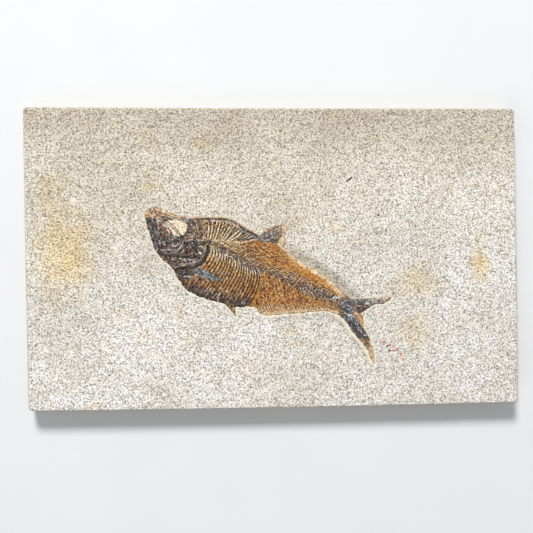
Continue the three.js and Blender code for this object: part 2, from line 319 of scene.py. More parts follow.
def back_edge(front, rear, lowest):
    """The part of the outline along the back from one x to another, from the head towards the tail."""
    x, y = OUTLINE.T
    line = OUTLINE[(x > front) & (x < rear) & (y > lowest)]
    return line[np.argsort(line[:, 0])]


def above_backbone(x, y):
    """1 on the back's side of the backbone and 0 on the belly's."""
    return (nearest(x, y, BACKBONE)[2] + 1) / 2


def edge_depth(x, y):
    """How far inside the fish a point lies, with the small unevenness of a real edge."""
    uneven = 0.6 * fractal(x, y, 3.4, 5, 3) + 0.3 * lattice_noise(x / 0.9, y / 0.9, 6)
    return depth_inside(x, y, OUTLINE) + uneven


# ------------------------------------------------------------------ the fish's tints and relief

FISH_TINTS = ("cream", "gold", "amber", "umber", "ash", "bone", "rust", "silver")
BONE_RISE = 0.34  # how far a stout bone stands above the skin
FINE_RISE = 0.26  # and how far a rib or a ray does
SPINE_COUNT = 62
VERTEBRA_COUNT = 52
REAR_ARCH_COUNT = 20
GLEAM_COUNT = 7  # the silver strokes at the root of the tail
RIM_STROKE_COUNT = 34
ANAL_RAY_COUNT = 46
BELLY_SCUTE_COUNT = 26
DORSAL_RAY_COUNT = 9
EDGE_SPLINTER_COUNT = 420


def shaken(points, amount):
    """The points, each moved a little."""
    return np.array(points, float) + chance.normal(0, amount, (len(points), 2))


def lay_skin(plan):
    """The film of skin and scales: amber behind, golden over the rib cage and darker towards the belly."""
    x, y = plan.x, plan.y
    above = above_backbone(x, y)
    rear = smooth(-20, -9, x)
    front = 1 - rear
    plan.lay("amber", 0.95 * rear)
    plan.mottle("umber", 0.6, 2.4, 102, within=rear * (1 - above), level=-0.05, stretch=(95, 2.2))
    plan.mottle("rust", 0.5, 2.2, 104, within=rear * (1 - above), level=0.2, stretch=(85, 1.8))
    plan.mottle("gold", 0.4, 2.6, 105, within=rear * above, level=0.2, stretch=(-32, 5))
    plan.mottle("umber", 0.35, 1.6, 103, within=rear * above, level=0.2, stretch=(-30, 6))
    plan.mottle("umber", 0.55, 2.2, 106, within=above * smooth(9, 0, x), level=0.0, stretch=(-28, 5))
    plan.lay("gold", 0.75 * front)
    middle = front * (1 - above) * smooth(17, 11, nearest(x, y, BELLY)[0])
    plan.mottle("rust", 0.7, 3, 107, within=middle, level=-0.1)
    plan.mottle("amber", 0.75, 2.4, 108, within=middle, level=-0.1)
    plan.mottle("umber", 0.5, 3, 109, within=front, level=0.05)


def lay_belly_shade(plan):
    """The belly is almost black towards the lower edge, in front of the anal fin."""
    x, y = plan.x, plan.y
    reach = smooth(-12, -14.5, x) * smooth(6.4, 3.2, nearest(x, y, BELLY)[0] + 0.8 * fractal(x, y, 3, 110, 2))
    plan.lay("bone", 0.82 * reach)
    plan.mottle("ash", 0.5, 1.6, 111, within=reach, level=0.2)
    plan.mottle("rust", 0.5, 1.3, 112, within=reach, level=0.35, stretch=(62, 3))


def rib_line(share):
    """A rib's curve from backbone to belly. share says which rib, from 0 for the first to 1 for the last."""
    root, tip = place_on(RIB_ROOTS, share), place_on(RIB_TIPS, share)
    bends = [root + (1 - share) * np.array(first) + share * np.array(last) for first, last in RIB_BENDS]
    t = np.linspace(0, 1, 7)[:, None]
    return (1 - t) ** 3 * root + 3 * (1 - t) ** 2 * t * bends[0] + 3 * (1 - t) * t**2 * bends[1] + t**3 * tip


def lay_ribs(plan):
    """The rib cage: dark curved rods with a pale gleam beside each one, which fades out over the belly."""
    for index, share in spaced(RIB_COUNT):
        line = shaken(rib_line(share**0.95), 0.14)
        for first, tint in ((0, "cream"), (2, "gold"), (3, "amber")):
            gleam = line[first : first + 3] + (0.72, 0.1)
            plan.stroke(gleam, 0.7, tint, 0.85, ends=(0.9, 0.7), broken=0.7, seed=index)
        plan.stroke(line, 0.85, "bone", 0.98, FINE_RISE, ends=(0.75, 0.95), broken=0.2, seed=index)
    flank = [(-42, -4), (-32, 2), (-12, -5), (-16, -16), (-44, -11)]
    plan.scatter(flank, 150, "umber rust cream bone gold", (0.6, 1.6), (0.25, 0.45), 72, 25, strength=0.7)
    lay_belly_shade(plan)
    glints = [(-46.5, -11), (-38, -13.6), (-16, -17), (-14, -24.4), (-28, -22), (-38, -19)]
    plan.scatter(glints, 130, "silver gold cream bone gold bone umber", (0.8, 2.0), (0.22, 0.34), 62, 10,
                 strength=0.9)


def lay_fan(plan):
    """The slender bones in front of the dorsal fin, spread like a fan under the back."""
    below = [(-37, 12.5), (-30, 11.5), (-18, 11), (-13, 9), (-14, 6), (-27, 6), (-35.5, 7.6)]
    plan.scatter(below, 130, "gold umber bone amber cream", (0.8, 2.4), (0.3, 0.5), -28, 30)
    for index, share in spaced(FAN_COUNT):
        root, tip = place_on(FAN_ROOTS, share), place_on(FAN_TIPS, share)
        middle = (root + tip) / 2 + (0.25, -0.2)
        line = shaken([root, middle, tip], 0.18)
        plan.stroke(line + (0.55, -0.45), 0.8, "gold" if index % 3 == 0 else "cream", 0.9, ends=(0.6, 0.8),
                    seed=index)
        plan.stroke(line, 0.78, "bone", 0.97, FINE_RISE, ends=(0.4, 1.3), broken=0.35, seed=index + 40)
    top = [(-37, 18), (-30, 18.6), (-20, 16.2), (-11, 11.6), (-14, 11), (-22, 14), (-34, 15.5)]
    plan.scatter(top, 70, "umber bone gold ash", (0.6, 1.6), (0.3, 0.5), 40, 40, strength=0.7)


def lay_spines(plan):
    """The fine spines above and below the backbone, swept back, behind the rib cage and over it."""
    back = [(-26, 8.5), (-9, 9.5), (4, 1.5), (8, -4), (-4, -2), (-16, 2), (-26, 6)]
    plan.scatter(back, 230, "umber umber gold bone amber rust", (1, 3), (0.3, 0.5), -24, 18, strength=0.85)
    loin = [(5, 3), (18, -5), (30, -13.5), (33, -18), (22, -15.5), (4, -5)]
    plan.scatter(loin, 110, "umber gold rust umber", (0.8, 2.6), (0.28, 0.45), -30, 12, strength=0.6)
    flank = [(-9, -9), (10, -16), (32, -25), (30, -28), (-7, -24.5)]
    plan.scatter(flank, 620, "umber umber bone gold amber rust gold", (0.5, 1.6), (0.28, 0.48), 93, 20,
                 strength=0.9)
    for index, share in spaced(SPINE_COUNT):
        root = place_on(BACKBONE, share)
        length = (9.4 - 4.8 * share) * chance.uniform(0.7, 1.15)
        height = length * (0.42 - 0.08 * share)
        up = [root + (0, 0.4), root + (length * 0.3, height * 0.7), root + (length * 0.65, height),
              root + (length, height * 0.95)]
        up = shaken(up, 0.16)
        plan.stroke(up + (0.2, -0.4), 0.36, "cream" if index % 3 == 0 else "gold", 0.6, ends=(1, 0.2),
                    broken=0.5, seed=index)
        plan.stroke(up, 0.46, "bone", 0.9, FINE_RISE * 0.7, ends=(1.2, 0.2), broken=0.3, seed=index)
        if root[0] > -11 and index % 4 != 3:
            drop = 12.5 * (1 - share) ** 0.9 + 2
            down = shaken([root + (0, -1), root + (0.2, -drop * 0.5), root + (1.0, -drop)], 0.25)
            plan.stroke(down + (0.55, 0), 0.42, "gold", 0.55, ends=(0.8, 0.3), broken=0.6, seed=index)
            plan.stroke(down, 0.5, "bone" if index % 3 == 0 else "umber", 0.8, FINE_RISE * 0.7, ends=(1, 0.3),
                        broken=0.5, seed=index)


def lay_backbone(plan):
    """The centra of the backbone: a dark, broken, knobbly band with an arch above and below each one."""
    x, y = plan.x, plan.y
    distance, share, _ = nearest(x, y, BACKBONE)
    thick = 1.1 + 1.2 * smooth(0.55, 0.75, share) - 1.0 * smooth(0.9, 1, share)
    band = smooth(thick + 0.7, thick - 0.7, distance + 0.9 * fractal(x, y, 1.8, 121, 2))
    plan.lay("umber", 0.7 * band)
    plan.mottle("ash", 0.6, 1.7, 122, within=band, level=0.05)
    plan.mottle("gold", 0.5, 1.5, 123, within=band, level=0.3)
    plan.lay("bone", 0.5 * band * smooth(0.3, 0.15, share))
    plan.relief += 0.12 * band
    for index, share in spaced(VERTEBRA_COUNT):
        root, after = place_on(BACKBONE, share), place_on(BACKBONE, min(share + 0.02, 1))
        along = (after - root) / max(np.hypot(*(after - root)), 1e-6)
        across = np.array([-along[1], along[0]])
        reach = (1.0 + 0.9 * float(smooth(0.55, 0.75, share))) * chance.uniform(0.6, 1.5)
        root = root + across * chance.normal(0, 0.25)
        top = root + across * reach + along * chance.uniform(0.2, 1.4)
        slant = [root - across * reach * 0.9 - along * 0.3, root, top]
        plan.stroke(shaken(slant, 0.2), chance.uniform(0.45, 0.75), "bone", 0.9, BONE_RISE, ends=(0.7, 0.4),
                    seed=index)
    around = [(-34, 10), (-24, 6.2), (-10, -2.8), (4, -8.6), (12, -12), (10, -15.4), (-8, -8), (-22, -1.8),
              (-34, 5.5)]
    plan.scatter(around, 200, "gold silver bone cream bone umber ash", (0.6, 1.7), (0.28, 0.45), -30, 40)


def lay_rear_arches(plan):
    """Grey bone with pale gaps, wide round the backbone in front of the tail."""
    zone = [(9, -11.6), (16, -13.6), (24, -17.2), (31, -20.4), (34, -24.6), (29, -24), (20, -20.4),
            (12, -16.5)]
    plan.patch(zone, "umber", 0.6, edge=0.8)
    plan.scatter(zone, 150, "bone umber ash silver gold umber", (0.7, 2.0), (0.3, 0.5), -5, 45)
    for index, share in spaced(REAR_ARCH_COUNT):
        root = place_on(BACKBONE, 0.55 + 0.41 * share)
        over = shaken([root + (0.2, 0.8), root + (1.6, 2.7), root + (4.2, 3.5)], 0.35)
        under = shaken([root + (0, -0.8), root + (0.8, -2.4), root + (2.4, -3.9)], 0.35)
        plan.stroke(over + (0.3, -0.5), 0.4, "silver" if index % 3 else "gold", 0.5, broken=0.8, seed=index)
        plan.stroke(over, 0.5, "bone", 0.8, FINE_RISE, ends=(1, 0.3), broken=0.5, seed=index)
        plan.stroke(under + (0.6, 0), 0.4, "cream" if index % 2 else "gold", 0.45, broken=0.8, seed=index + 9)
        plan.stroke(under, 0.5, "bone", 0.75, FINE_RISE, ends=(1, 0.3), broken=0.5, seed=index + 9)
    for index in range(GLEAM_COUNT):
        start = (28.2 + 0.9 * index, -21.8 + 0.15 * index)
        plan.stroke(shaken([start, (start[0] + 1.6, start[1] + 1.2)], 0.25), 0.6, "silver", 0.9, 0.1,
                    seed=index)
    plan.patch([(33.4, -21.6), (37.6, -21), (38.4, -22.6), (34.6, -23.6)], "amber", 0.7, edge=0.4)


def lay_edge(plan, depth):
    """The cream rim that the fish has on most of its outline."""
    x, y = plan.x, plan.y
    back = smooth(4, 10, x) * smooth(-24.5, -19, y)
    anal = smooth(-9, -5, x) * smooth(34, 30, x) * smooth(-25, -27.2, y)
    roof = smooth(-60, -56, x) * smooth(-41, -46, x) * smooth(16, 19, y)
    uneven = depth + 0.7 * fractal(x, y, 2.2, 143, 2)
    rim = smooth(1.4, 1.0, uneven) * np.clip(back + anal + roof, 0, 1)
    plan.lay("gold", 0.7 * smooth(2.6, 1.6, uneven) * np.clip(back + 0.6 * anal, 0, 1))
    plan.lay("cream", 0.92 * rim)
    plan.mottle("umber", 0.5, 1.1, 141, within=rim, level=0.25)
    plan.mottle("gold", 0.7, 1.3, 142, within=rim, level=0.0)
    loins = back_edge(5, 36, -21)
    for index, share in spaced(RIM_STROKE_COUNT):
        spot = place_on(loins, share) - (0.45, 0.75) + chance.normal(0, 0.35, 2)
        half = np.array([0.8, -0.6]) * chance.uniform(0.5, 1.3)
        tint = ("cream", "cream", "umber", "gold")[index % 4]
        plan.stroke([spot - half, spot + (0.1, 0.15), spot + half], 0.55, tint, 0.9, 0.12, broken=0.2,
                    seed=index)


def edge_tints(x, y):
    """What the splinters at a place on the outline are made of."""
    on_shoulder = -41 < x < -7 and y > 9
    on_head_or_belly = x < -12 and y < 19
    on_tail = x > 34 and y > -44
    on_dorsal_fin = x < 4 and y > 7
    if on_shoulder:
        return "bone bone umber bone ash"
    if on_head_or_belly:
        return "bone bone umber cream ash"
    if on_tail or on_dorsal_fin:
        return "bone ash umber ash"
    return "cream gold umber cream gold"


def lay_ragged_edge(plan):
    """Splinters all round the outline: dark on the head and belly, cream and golden behind."""
    ring = np.vstack([OUTLINE, OUTLINE[:1]])
    for spot in place_on(ring, np.linspace(0, 1, EDGE_SPLINTER_COUNT, endpoint=False)):
        tints = edge_tints(*spot).split()
        spot = spot + chance.normal(0, 0.5, 2)
        turn = chance.uniform(0, math.pi)
        half = np.array([math.cos(turn), math.sin(turn)]) * chance.uniform(0.3, 0.9)
        tint = tints[chance.integers(len(tints))]
        plan.stroke([spot - half, spot + half], chance.uniform(0.35, 0.7), tint, 0.85, 0.12, broken=0)


def lay_anal_fin(plan):
    """A low fringe of short rays along the belly, behind a dark first ray."""
    x, y = plan.x, plan.y
    fringe = smooth(-9.5, -7.5, x) * smooth(31, 26, x) * smooth(-22.6, -25, y)
    plan.lay("amber", 0.6 * fringe)
    plan.mottle("gold", 0.6, 1.3, 151, within=fringe, level=0.05)
    for index, share in spaced(ANAL_RAY_COUNT):
        top = np.array([-8.4 + 37.5 * share, -23.4 - 1.2 * share + chance.uniform(-0.9, 0.6)])
        drop = 4.6 - 1.8 * share
        line = [top, top + (0.55, -drop * 0.5), top + (1.3, -drop)]
        plan.stroke(shaken(line, 0.14) + (0.4, 0), 0.38, "cream", 0.7, ends=(0.1, 1), broken=0.7, seed=index)
        plan.stroke(shaken(line, 0.14), 0.4, "bone" if index % 4 == 0 else "umber", 0.85, FINE_RISE,
                    ends=(1, 0.4), seed=index)
    plan.stroke([(-9.8, -21.6), (-9.5, -23.5), (-9.2, -24.6)], 1.1, "bone", 0.95, BONE_RISE)
    plan.stroke([(-7.4, -15.5), (-7.6, -18), (-7.9, -20.8)], 0.6, "bone", 0.8, FINE_RISE)
    plan.stroke([(-9.3, -25.3), (-8.4, -27.2), (-7.4, -28.6)], 1.2, "ash", 0.75, FINE_RISE)


def lay_back_scutes(plan):
    """The row of dark little plates along the back, from the head to the dorsal fin."""
    scutes = [  # each with its width
        ([(-38.6, 19.3), (-37.4, 19.8), (-36, 19.7)], 1.0),
        ([(-35.8, 19.9), (-34, 19.9), (-33.1, 18.5), (-33.4, 16.8)], 1.0),
        ([(-30.6, 19.6), (-29.4, 19.7)], 0.7), ([(-28, 19.6), (-27, 19.7)], 1.1),
        ([(-26.3, 19.6), (-25.6, 19)], 0.9), ([(-25, 20), (-23.6, 19.2), (-21.6, 18.5)], 0.6),
        ([(-21.4, 18.3), (-20, 17.6), (-18.6, 17.2)], 0.6), ([(-23, 16.2), (-22.4, 15.9)], 0.9),
        ([(-20.6, 15.3), (-19.6, 15)], 0.8), ([(-17.6, 15), (-16, 13.9), (-14.4, 13.4)], 0.9),
        ([(-14.4, 13.2), (-12.6, 12.6), (-11.2, 12)], 1.0), ([(-11.4, 12), (-9.8, 11.3), (-8.4, 10.4)], 1.1),
    ]
    ridge = back_edge(-40, -8, 9)
    plan.stroke(ridge - (0.5, 1.7), 0.6, "silver", 0.55, broken=0.8)
    plan.stroke(ridge - (0.2, 0.7), 1.0, "bone", 0.9, FINE_RISE, ends=(0.8, 0.8), broken=0.7)
    plan.stroke([(-32.4, 19.2), (-30.5, 18.9), (-28.8, 18.4)], 1.1, "silver", 0.6)
    plan.stroke([(-25, 19), (-21.5, 17.7), (-18.4, 16.6)], 1.0, "silver", 0.55)
    plan.stroke([(-17.5, 14), (-13, 12.1), (-9, 10.4)], 1.0, "ash", 0.6)
    for index, (line, width) in enumerate(scutes):
        plan.stroke(line, width, "bone", 0.95, BONE_RISE, ends=(0.6, 0.6), seed=index)


def lay_belly_scutes(plan):
    """Short keeled plates along the belly's edge."""
    edge = spline([(-46.5, -14.6), (-40, -18.2), (-35, -20.4), (-28, -21.8), (-22, -23.9), (-14.6, -24.8)])
    for index, share in spaced(BELLY_SCUTE_COUNT):
        root = place_on(edge, share)
        line = shaken([root + (0.7, 1.4), root + (-0.1, -0.5)], 0.12)
        plan.stroke(line, 0.75, "bone", 0.85, BONE_RISE, ends=(0.5, 1), seed=index)


def lay_head(plan):
    """The skull: dark plates and struts with grey edges, and brown splinters behind them."""
    x, y = plan.x, plan.y
    plan.patch(HEAD, "bone", 0.92, edge=0.7, ragged=0.9)
    head = smooth(-35, -38, x + 0.35 * np.abs(y - 6)) * smooth(21, 19.5, y)
    plan.mottle("umber", 0.7, 2.6, 161, within=head, level=0.1)
    plan.mottle("ash", 0.6, 1.8, 162, within=head, level=0.15)
    face = [(-64, 19), (-57, 19.6), (-57, 13), (-50, 10.8), (-44.6, 11), (-46, 3), (-58, 3), (-61.5, 8)]
    plan.scatter(face, 330, "ash silver ash bone bone bone bone umber rust bone cream", (0.6, 2.0),
                 (0.26, 0.42))
    nape = [(-44, 19), (-36.5, 19), (-34.6, 14), (-34.4, 9), (-40, 8.6), (-46, 10), (-43.8, 15)]
    plan.scatter(nape, 300, "gold cream ash bone bone umber bone umber", (0.5, 1.7), (0.28, 0.48))


def lay_snout_and_roof(plan):
    """A rough brown cap on the snout, with a golden front corner, and a tan edge along the skull's roof."""
    cap_line = [(-65.4, 20.6), (-61, 20.2), (-57.4, 19.4), (-56.2, 21), (-57.4, 23.4), (-59, 25.2),
                (-62.6, 26.2), (-65.6, 24.6)]
    plan.patch(cap_line, "umber", 0.85, edge=0.4, ragged=0.9)
    plan.patch(cap_line, "rust", 0.2, edge=0.8)
    plan.scatter(cap_line, 70, "cream silver umber rust gold bone", (0.5, 1.5), (0.3, 0.5), strength=0.65)
    plan.mottle("cream", 0.4, 1.3, 171, level=0.05,
                within=smooth(-0.4, 0.4, depth_inside(plan.x, plan.y, np.array(cap_line))))
    plan.patch([(-65.8, 20.8), (-64, 20.9), (-63.4, 22.4), (-64.6, 24), (-66, 23)], "gold", 0.85, edge=0.4)
    plan.stroke([(-59, 24.6), (-54.5, 23.2), (-49.5, 21.4), (-44.5, 20.4), (-40.5, 20.3)], 1.2, "cream", 0.9,
                0.15)
    plan.stroke([(-57.6, 23.6), (-53, 22.4), (-48.6, 20.8), (-45, 20.2)], 0.55, "amber", 0.9, ends=(0.4, 0.6))
    plan.stroke([(-48.4, 20.9), (-46.8, 20.4), (-45.2, 20.2)], 0.6, "rust", 0.7)
    plan.stroke([(-58.4, 22.8), (-54.6, 21.9), (-51, 20.5)], 0.8, "umber", 0.9, FINE_RISE)
    plan.stroke([(-57, 21.4), (-54.4, 20.6), (-50, 19.7), (-46, 18.9)], 1.1, "ash", 0.8, FINE_RISE)
    plan.stroke([(-57.4, 22), (-54.4, 21.2), (-51.6, 20.2)], 0.4, "silver", 0.7)
    plan.stroke([(-47.4, 19.6), (-45, 18.9), (-43.6, 17.8)], 1.2, "ash", 0.8, FINE_RISE)
    roof = [(-57, 22), (-50, 20.2), (-43, 19.4), (-43.4, 17.8), (-50, 18.8), (-57, 19.8)]
    plan.scatter(roof, 50, "ash silver umber gold bone", (0.8, 2.2), (0.3, 0.5), -18, 25)


def lay_eye_socket(plan):
    """A shallow hollow full of cream stone, crossed by two thin bones, with rusty bones in front of it."""
    plan.patch(EYE_SOCKET, "cream", 0.99, -0.4, edge=0.45, ragged=0.5)
    hollow = smooth(-0.6, 0.6, depth_inside(plan.x, plan.y, loop(EYE_SOCKET)))
    plan.mottle("gold", 0.35, 1.6, 181, within=hollow, level=0.2)
    plan.mottle("silver", 0.4, 1.4, 182, within=hollow, level=0.3)
    for shift in (0, 1.15):
        line = [(-55.6 + shift, 19), (-51.6 + shift, 15.3), (-47.2 + shift * 0.6, 10.6)]
        plan.stroke(line, 0.42, "bone", 0.95, FINE_RISE, ends=(0.9, 0.9), broken=0, seed=shift)
    plan.scatter(EYE_SOCKET, 18, "umber gold silver", (0.5, 1.4), (0.25, 0.4), 50, 60, strength=0.45)
    in_front = [(-57.4, 18.8), (-54, 19), (-52, 14), (-52, 12), (-56.8, 13.4)]
    plan.scatter(in_front, 40, "ash silver rust bone umber", (0.6, 1.8), (0.3, 0.5), -50, 40)
    plan.stroke([(-55, 18.3), (-53, 16.9), (-51.8, 15.9)], 0.9, "silver", 0.7, 0.1)
    plan.stroke([(-56.8, 16.6), (-55.6, 15.1), (-54, 14.7)], 1.0, "rust", 0.95, FINE_RISE)
    plan.stroke([(-54, 15.8), (-53, 14), (-51.9, 12.5)], 1.0, "rust", 0.9, FINE_RISE)
    plan.stroke([(-55.8, 15.3), (-54.8, 14.9)], 0.6, "bone", 0.8)
    plan.stroke([(-44.2, 18), (-43.4, 16.4), (-44.4, 14), (-45.4, 11.6), (-46.6, 9.4)], 0.9, "bone", 0.85,
                BONE_RISE)


def lay_jaws(plan):
    """The upright bones of the snout and lower jaw, along the front of the head."""
    front = [(-65.2, 19.9), (-64.4, 17), (-62.4, 10.4), (-61.2, 6.4), (-59.6, 3.2)]
    bones = [  # how far inwards, width, tint and strength
        (0.6, 1.3, "bone", 0.95), (1.75, 0.45, "silver", 0.4), (2.5, 1.1, "bone", 0.95),
        (3.5, 0.5, "ash", 0.7), (4.3, 0.9, "bone", 0.85), (5.2, 0.4, "silver", 0.3),
    ]
    for index, (inwards, width, tint, strength) in enumerate(bones):
        # An inner bone also reaches lower, by more at each point down.
        line = [(x + inwards, y - 0.1 * inwards * number) for number, (x, y) in enumerate(front)]
        plan.stroke(shaken(line, 0.3), width, tint, strength, BONE_RISE if tint == "bone" else 0.05,
                    ends=(0.8, 0.5), broken=0.6, seed=index)
    jaw = [(-65.6, 19.6), (-61, 19.6), (-58.6, 6), (-57, 3), (-60.4, 3), (-63.4, 10)]
    plan.scatter(jaw, 150, "bone bone ash bone bone bone umber ash", (1.0, 3.0), (0.28, 0.42), -74, 18)


def lay_cheek(plan):
    """Curved struts under the eye, round a pale arc."""
    centre = np.array([-50.6, 10.2])
    struts = [  # radius, first and last angle, width, tint and strength
        (2.2, 190, 330, 0.9, "bone", 0.9), (3.3, 195, 320, 0.55, "ash", 0.85),
        (3.9, 200, 335, 0.8, "bone", 0.9), (4.5, 240, 300, 0.8, "silver", 0.85),
        (5.3, 195, 300, 0.9, "bone", 0.85), (6.1, 190, 290, 0.6, "umber", 0.8),
        (6.9, 188, 262, 0.6, "silver", 0.5), (7.5, 186, 258, 0.7, "bone", 0.75),
    ]
    for index, (radius, start, end, width, tint, strength) in enumerate(struts):
        turn = np.radians(np.linspace(start, end, 5))
        line = centre + radius * np.stack([np.cos(turn), 0.92 * np.sin(turn)], 1)
        plan.stroke(shaken(line, 0.28), width, tint, strength, BONE_RISE if tint == "bone" else 0.08,
                    broken=0.6, seed=index)
    plan.stroke([(-56.4, 12.6), (-54, 11.4), (-51.4, 10.6), (-48.4, 10)], 0.8, "ash", 0.7, FINE_RISE)
    plan.stroke([(-46.2, 8.7), (-47.8, 5.6), (-50, 3.3)], 0.5, "silver", 0.75, 0.1)
    plan.stroke([(-44.8, 7.9), (-46.6, 5), (-48.6, 2.9), (-50.5, 2.2)], 0.8, "bone", 0.95, BONE_RISE)


def lay_gill_cover(plan):
    """The dark plate over the gills, with a rusty middle and a bent bar round its upper edge."""
    plan.patch(GILL_COVER, "bone", 0.75, 0.22, edge=0.5)
    plan.patch([(-44.6, 4.2), (-42.6, 4.4), (-40.4, 3.2), (-41.6, 1.9), (-44.4, 2.2)], "rust", 0.6, edge=0.5)
    plan.scatter(GILL_COVER, 70, "bone ash bone bone bone umber silver", (0.6, 1.8), (0.28, 0.42))
    plan.stroke([(-45, 7.3), (-43, 8.3), (-40.8, 7.9), (-39.4, 6.2), (-38.6, 4.4)], 0.9, "bone", 0.95,
                BONE_RISE)
    plan.stroke([(-45.4, 8.4), (-43, 9.2), (-40.4, 8.8)], 0.45, "silver", 0.5)
    plan.stroke([(-38.5, 2.9), (-37.6, 2.2)], 1.0, "cream", 0.9, 0.1, ends=(1, 1))
    plan.stroke([(-39.4, 1.2), (-38, 0.9), (-37.2, 1.6)], 0.6, "rust", 0.7)
    plan.stroke([(-39, 5.6), (-37.6, 5.9), (-36.4, 5)], 0.7, "silver", 0.55)


def lay_jaw_band(plan):
    """The stout dark bar from the chin to the gill cover."""
    plan.stroke([(-60, 5), (-57, 4.3), (-53, 4), (-50, 4.1), (-48, 4.8)], 0.5, "silver", 0.5, 0.05)
    plan.stroke([(-59.2, 3.4), (-57, 2), (-54, 1.5), (-50.6, 1.3), (-48.4, 1.6)], 1.4, "bone", 0.99,
                BONE_RISE, broken=0.1)
    plan.stroke([(-50, 0.5), (-47, 0.7), (-44, 0.7), (-41, 0.3), (-38.6, 0.5)], 1.5, "bone", 0.96, BONE_RISE,
                ends=(0.4, 0.5))
    plan.stroke([(-47.4, -0.6), (-44.6, -0.9), (-41.8, -0.7), (-39.6, -0.2)], 0.6, "silver", 0.6, 0.05)
    plan.stroke([(-52.8, 2.9), (-49.6, 2.7)], 0.5, "silver", 0.4)


def lay_throat(plan):
    """Splinters of every tint over dark bone, between the jaw band and the shoulder."""
    under = [(-58.6, 1.6), (-50, 0.2), (-40, -0.8), (-38.6, -2.8), (-50, -4.8), (-55.4, -3.6)]
    plan.patch(under, "bone", 0.85, edge=0.6, ragged=0.8)
    throat = [(-58.6, 1.4), (-50, 0.4), (-38.4, 0), (-38.6, -2), (-43, -3.8), (-50, -4.8), (-55.4, -3.6)]
    plan.scatter(throat, 200, "gold bone bone bone bone ash ash rust cream umber", (0.6, 1.8), (0.28, 0.45),
                 -8, 50)
    plan.stroke([(-58.8, 1.4), (-56.4, -0.9), (-54.2, -3.2), (-51.6, -4.9)], 0.9, "amber", 0.7,
                ends=(0.8, 0.6))
    plan.stroke([(-51.4, -5.4), (-50.2, -7.4), (-49.3, -9.6)], 0.7, "amber", 0.6)


def lay_shoulder(plan):
    """The shoulder bone, a thick dark sickle behind the gill cover, with a pale edge inside it."""
    sickle = [(-34, 6.2), (-34.4, 3.2), (-35.8, -0.2), (-38.4, -2.9), (-42, -4.7), (-46, -4.6), (-50.6, -5.2)]
    plan.stroke([(-35.6, 5), (-36.2, 2.4), (-37.8, -0.6), (-40.6, -2.5), (-43.4, -3.1)], 0.7, "ash", 0.9,
                0.12, ends=(0.5, 0.5), broken=0.8)
    for start in (-48.6, -45.8, -43.0):
        wisp = shaken([(start, 0.12 * start + 2.5), (start + 1.9, 0.12 * start + 3.3)], 0.2)
        plan.stroke(wisp, 0.5, "silver", 0.7, 0.1, ends=(0.6, 0.4))
    plan.stroke([(-47, -3.3), (-44.6, -2.5)], 0.5, "amber", 0.8)
    plan.stroke(sickle, 1.8, "bone", 0.99, BONE_RISE * 1.15, ends=(0.9, 0.6), broken=0)
    plan.patch([(-50.4, -5.9), (-46, -5.6), (-42.2, -5.9), (-41.6, -8.4), (-45, -8.8), (-48.8, -9)], "bone",
               0.85, 0.1)
    plan.patch([(-49.2, -9.6), (-46.6, -9.8), (-45.6, -12.6), (-47, -13.6)], "bone", 0.8, edge=0.4)
    chest = [(-51, -5.6), (-42, -5.6), (-40.6, -8), (-41.6, -13), (-46, -15)]
    plan.scatter(chest, 80, "bone bone umber ash bone umber", (0.6, 1.8), (0.28, 0.45), 40, 60)
    plan.stroke([(-46.8, -9.4), (-44.4, -9.2), (-42.4, -9.6)], 0.75, "silver", 0.85, 0.1)
    plan.stroke([(-45.4, -11.8), (-44, -11.3), (-42.6, -10.6)], 0.9, "amber", 0.9, 0.05)
    plan.stroke([(-41, -6.6), (-40.4, -8.6), (-40.6, -9.8)], 0.8, "gold", 0.8)


def lay_pectoral_fin(plan):
    """The grey fin that lies across the front ribs, with two faint wisps behind it."""
    fin = [(-41.2, -5), (-37.6, -5.3), (-33.6, -7.3), (-28.8, -10), (-28.8, -11.5), (-32, -11.5), (-37, -9.7),
           (-40.6, -7.9)]
    plan.patch(fin, "ash", 0.95, 0.1, edge=0.35, ragged=0.5)
    plan.scatter(fin, 50, "bone ash bone ash bone silver", (1.2, 3.4), (0.22, 0.36), -27, 8, strength=0.7)
    plan.stroke([(-30, -6.9), (-27, -7.7), (-24.4, -9.2)], 1.1, "ash", 0.45, edge=0.4, broken=0.7)
    plan.stroke([(-29.6, -10.9), (-26, -10.6), (-22.8, -10.6)], 1.0, "ash", 0.35, edge=0.4, broken=0.7)


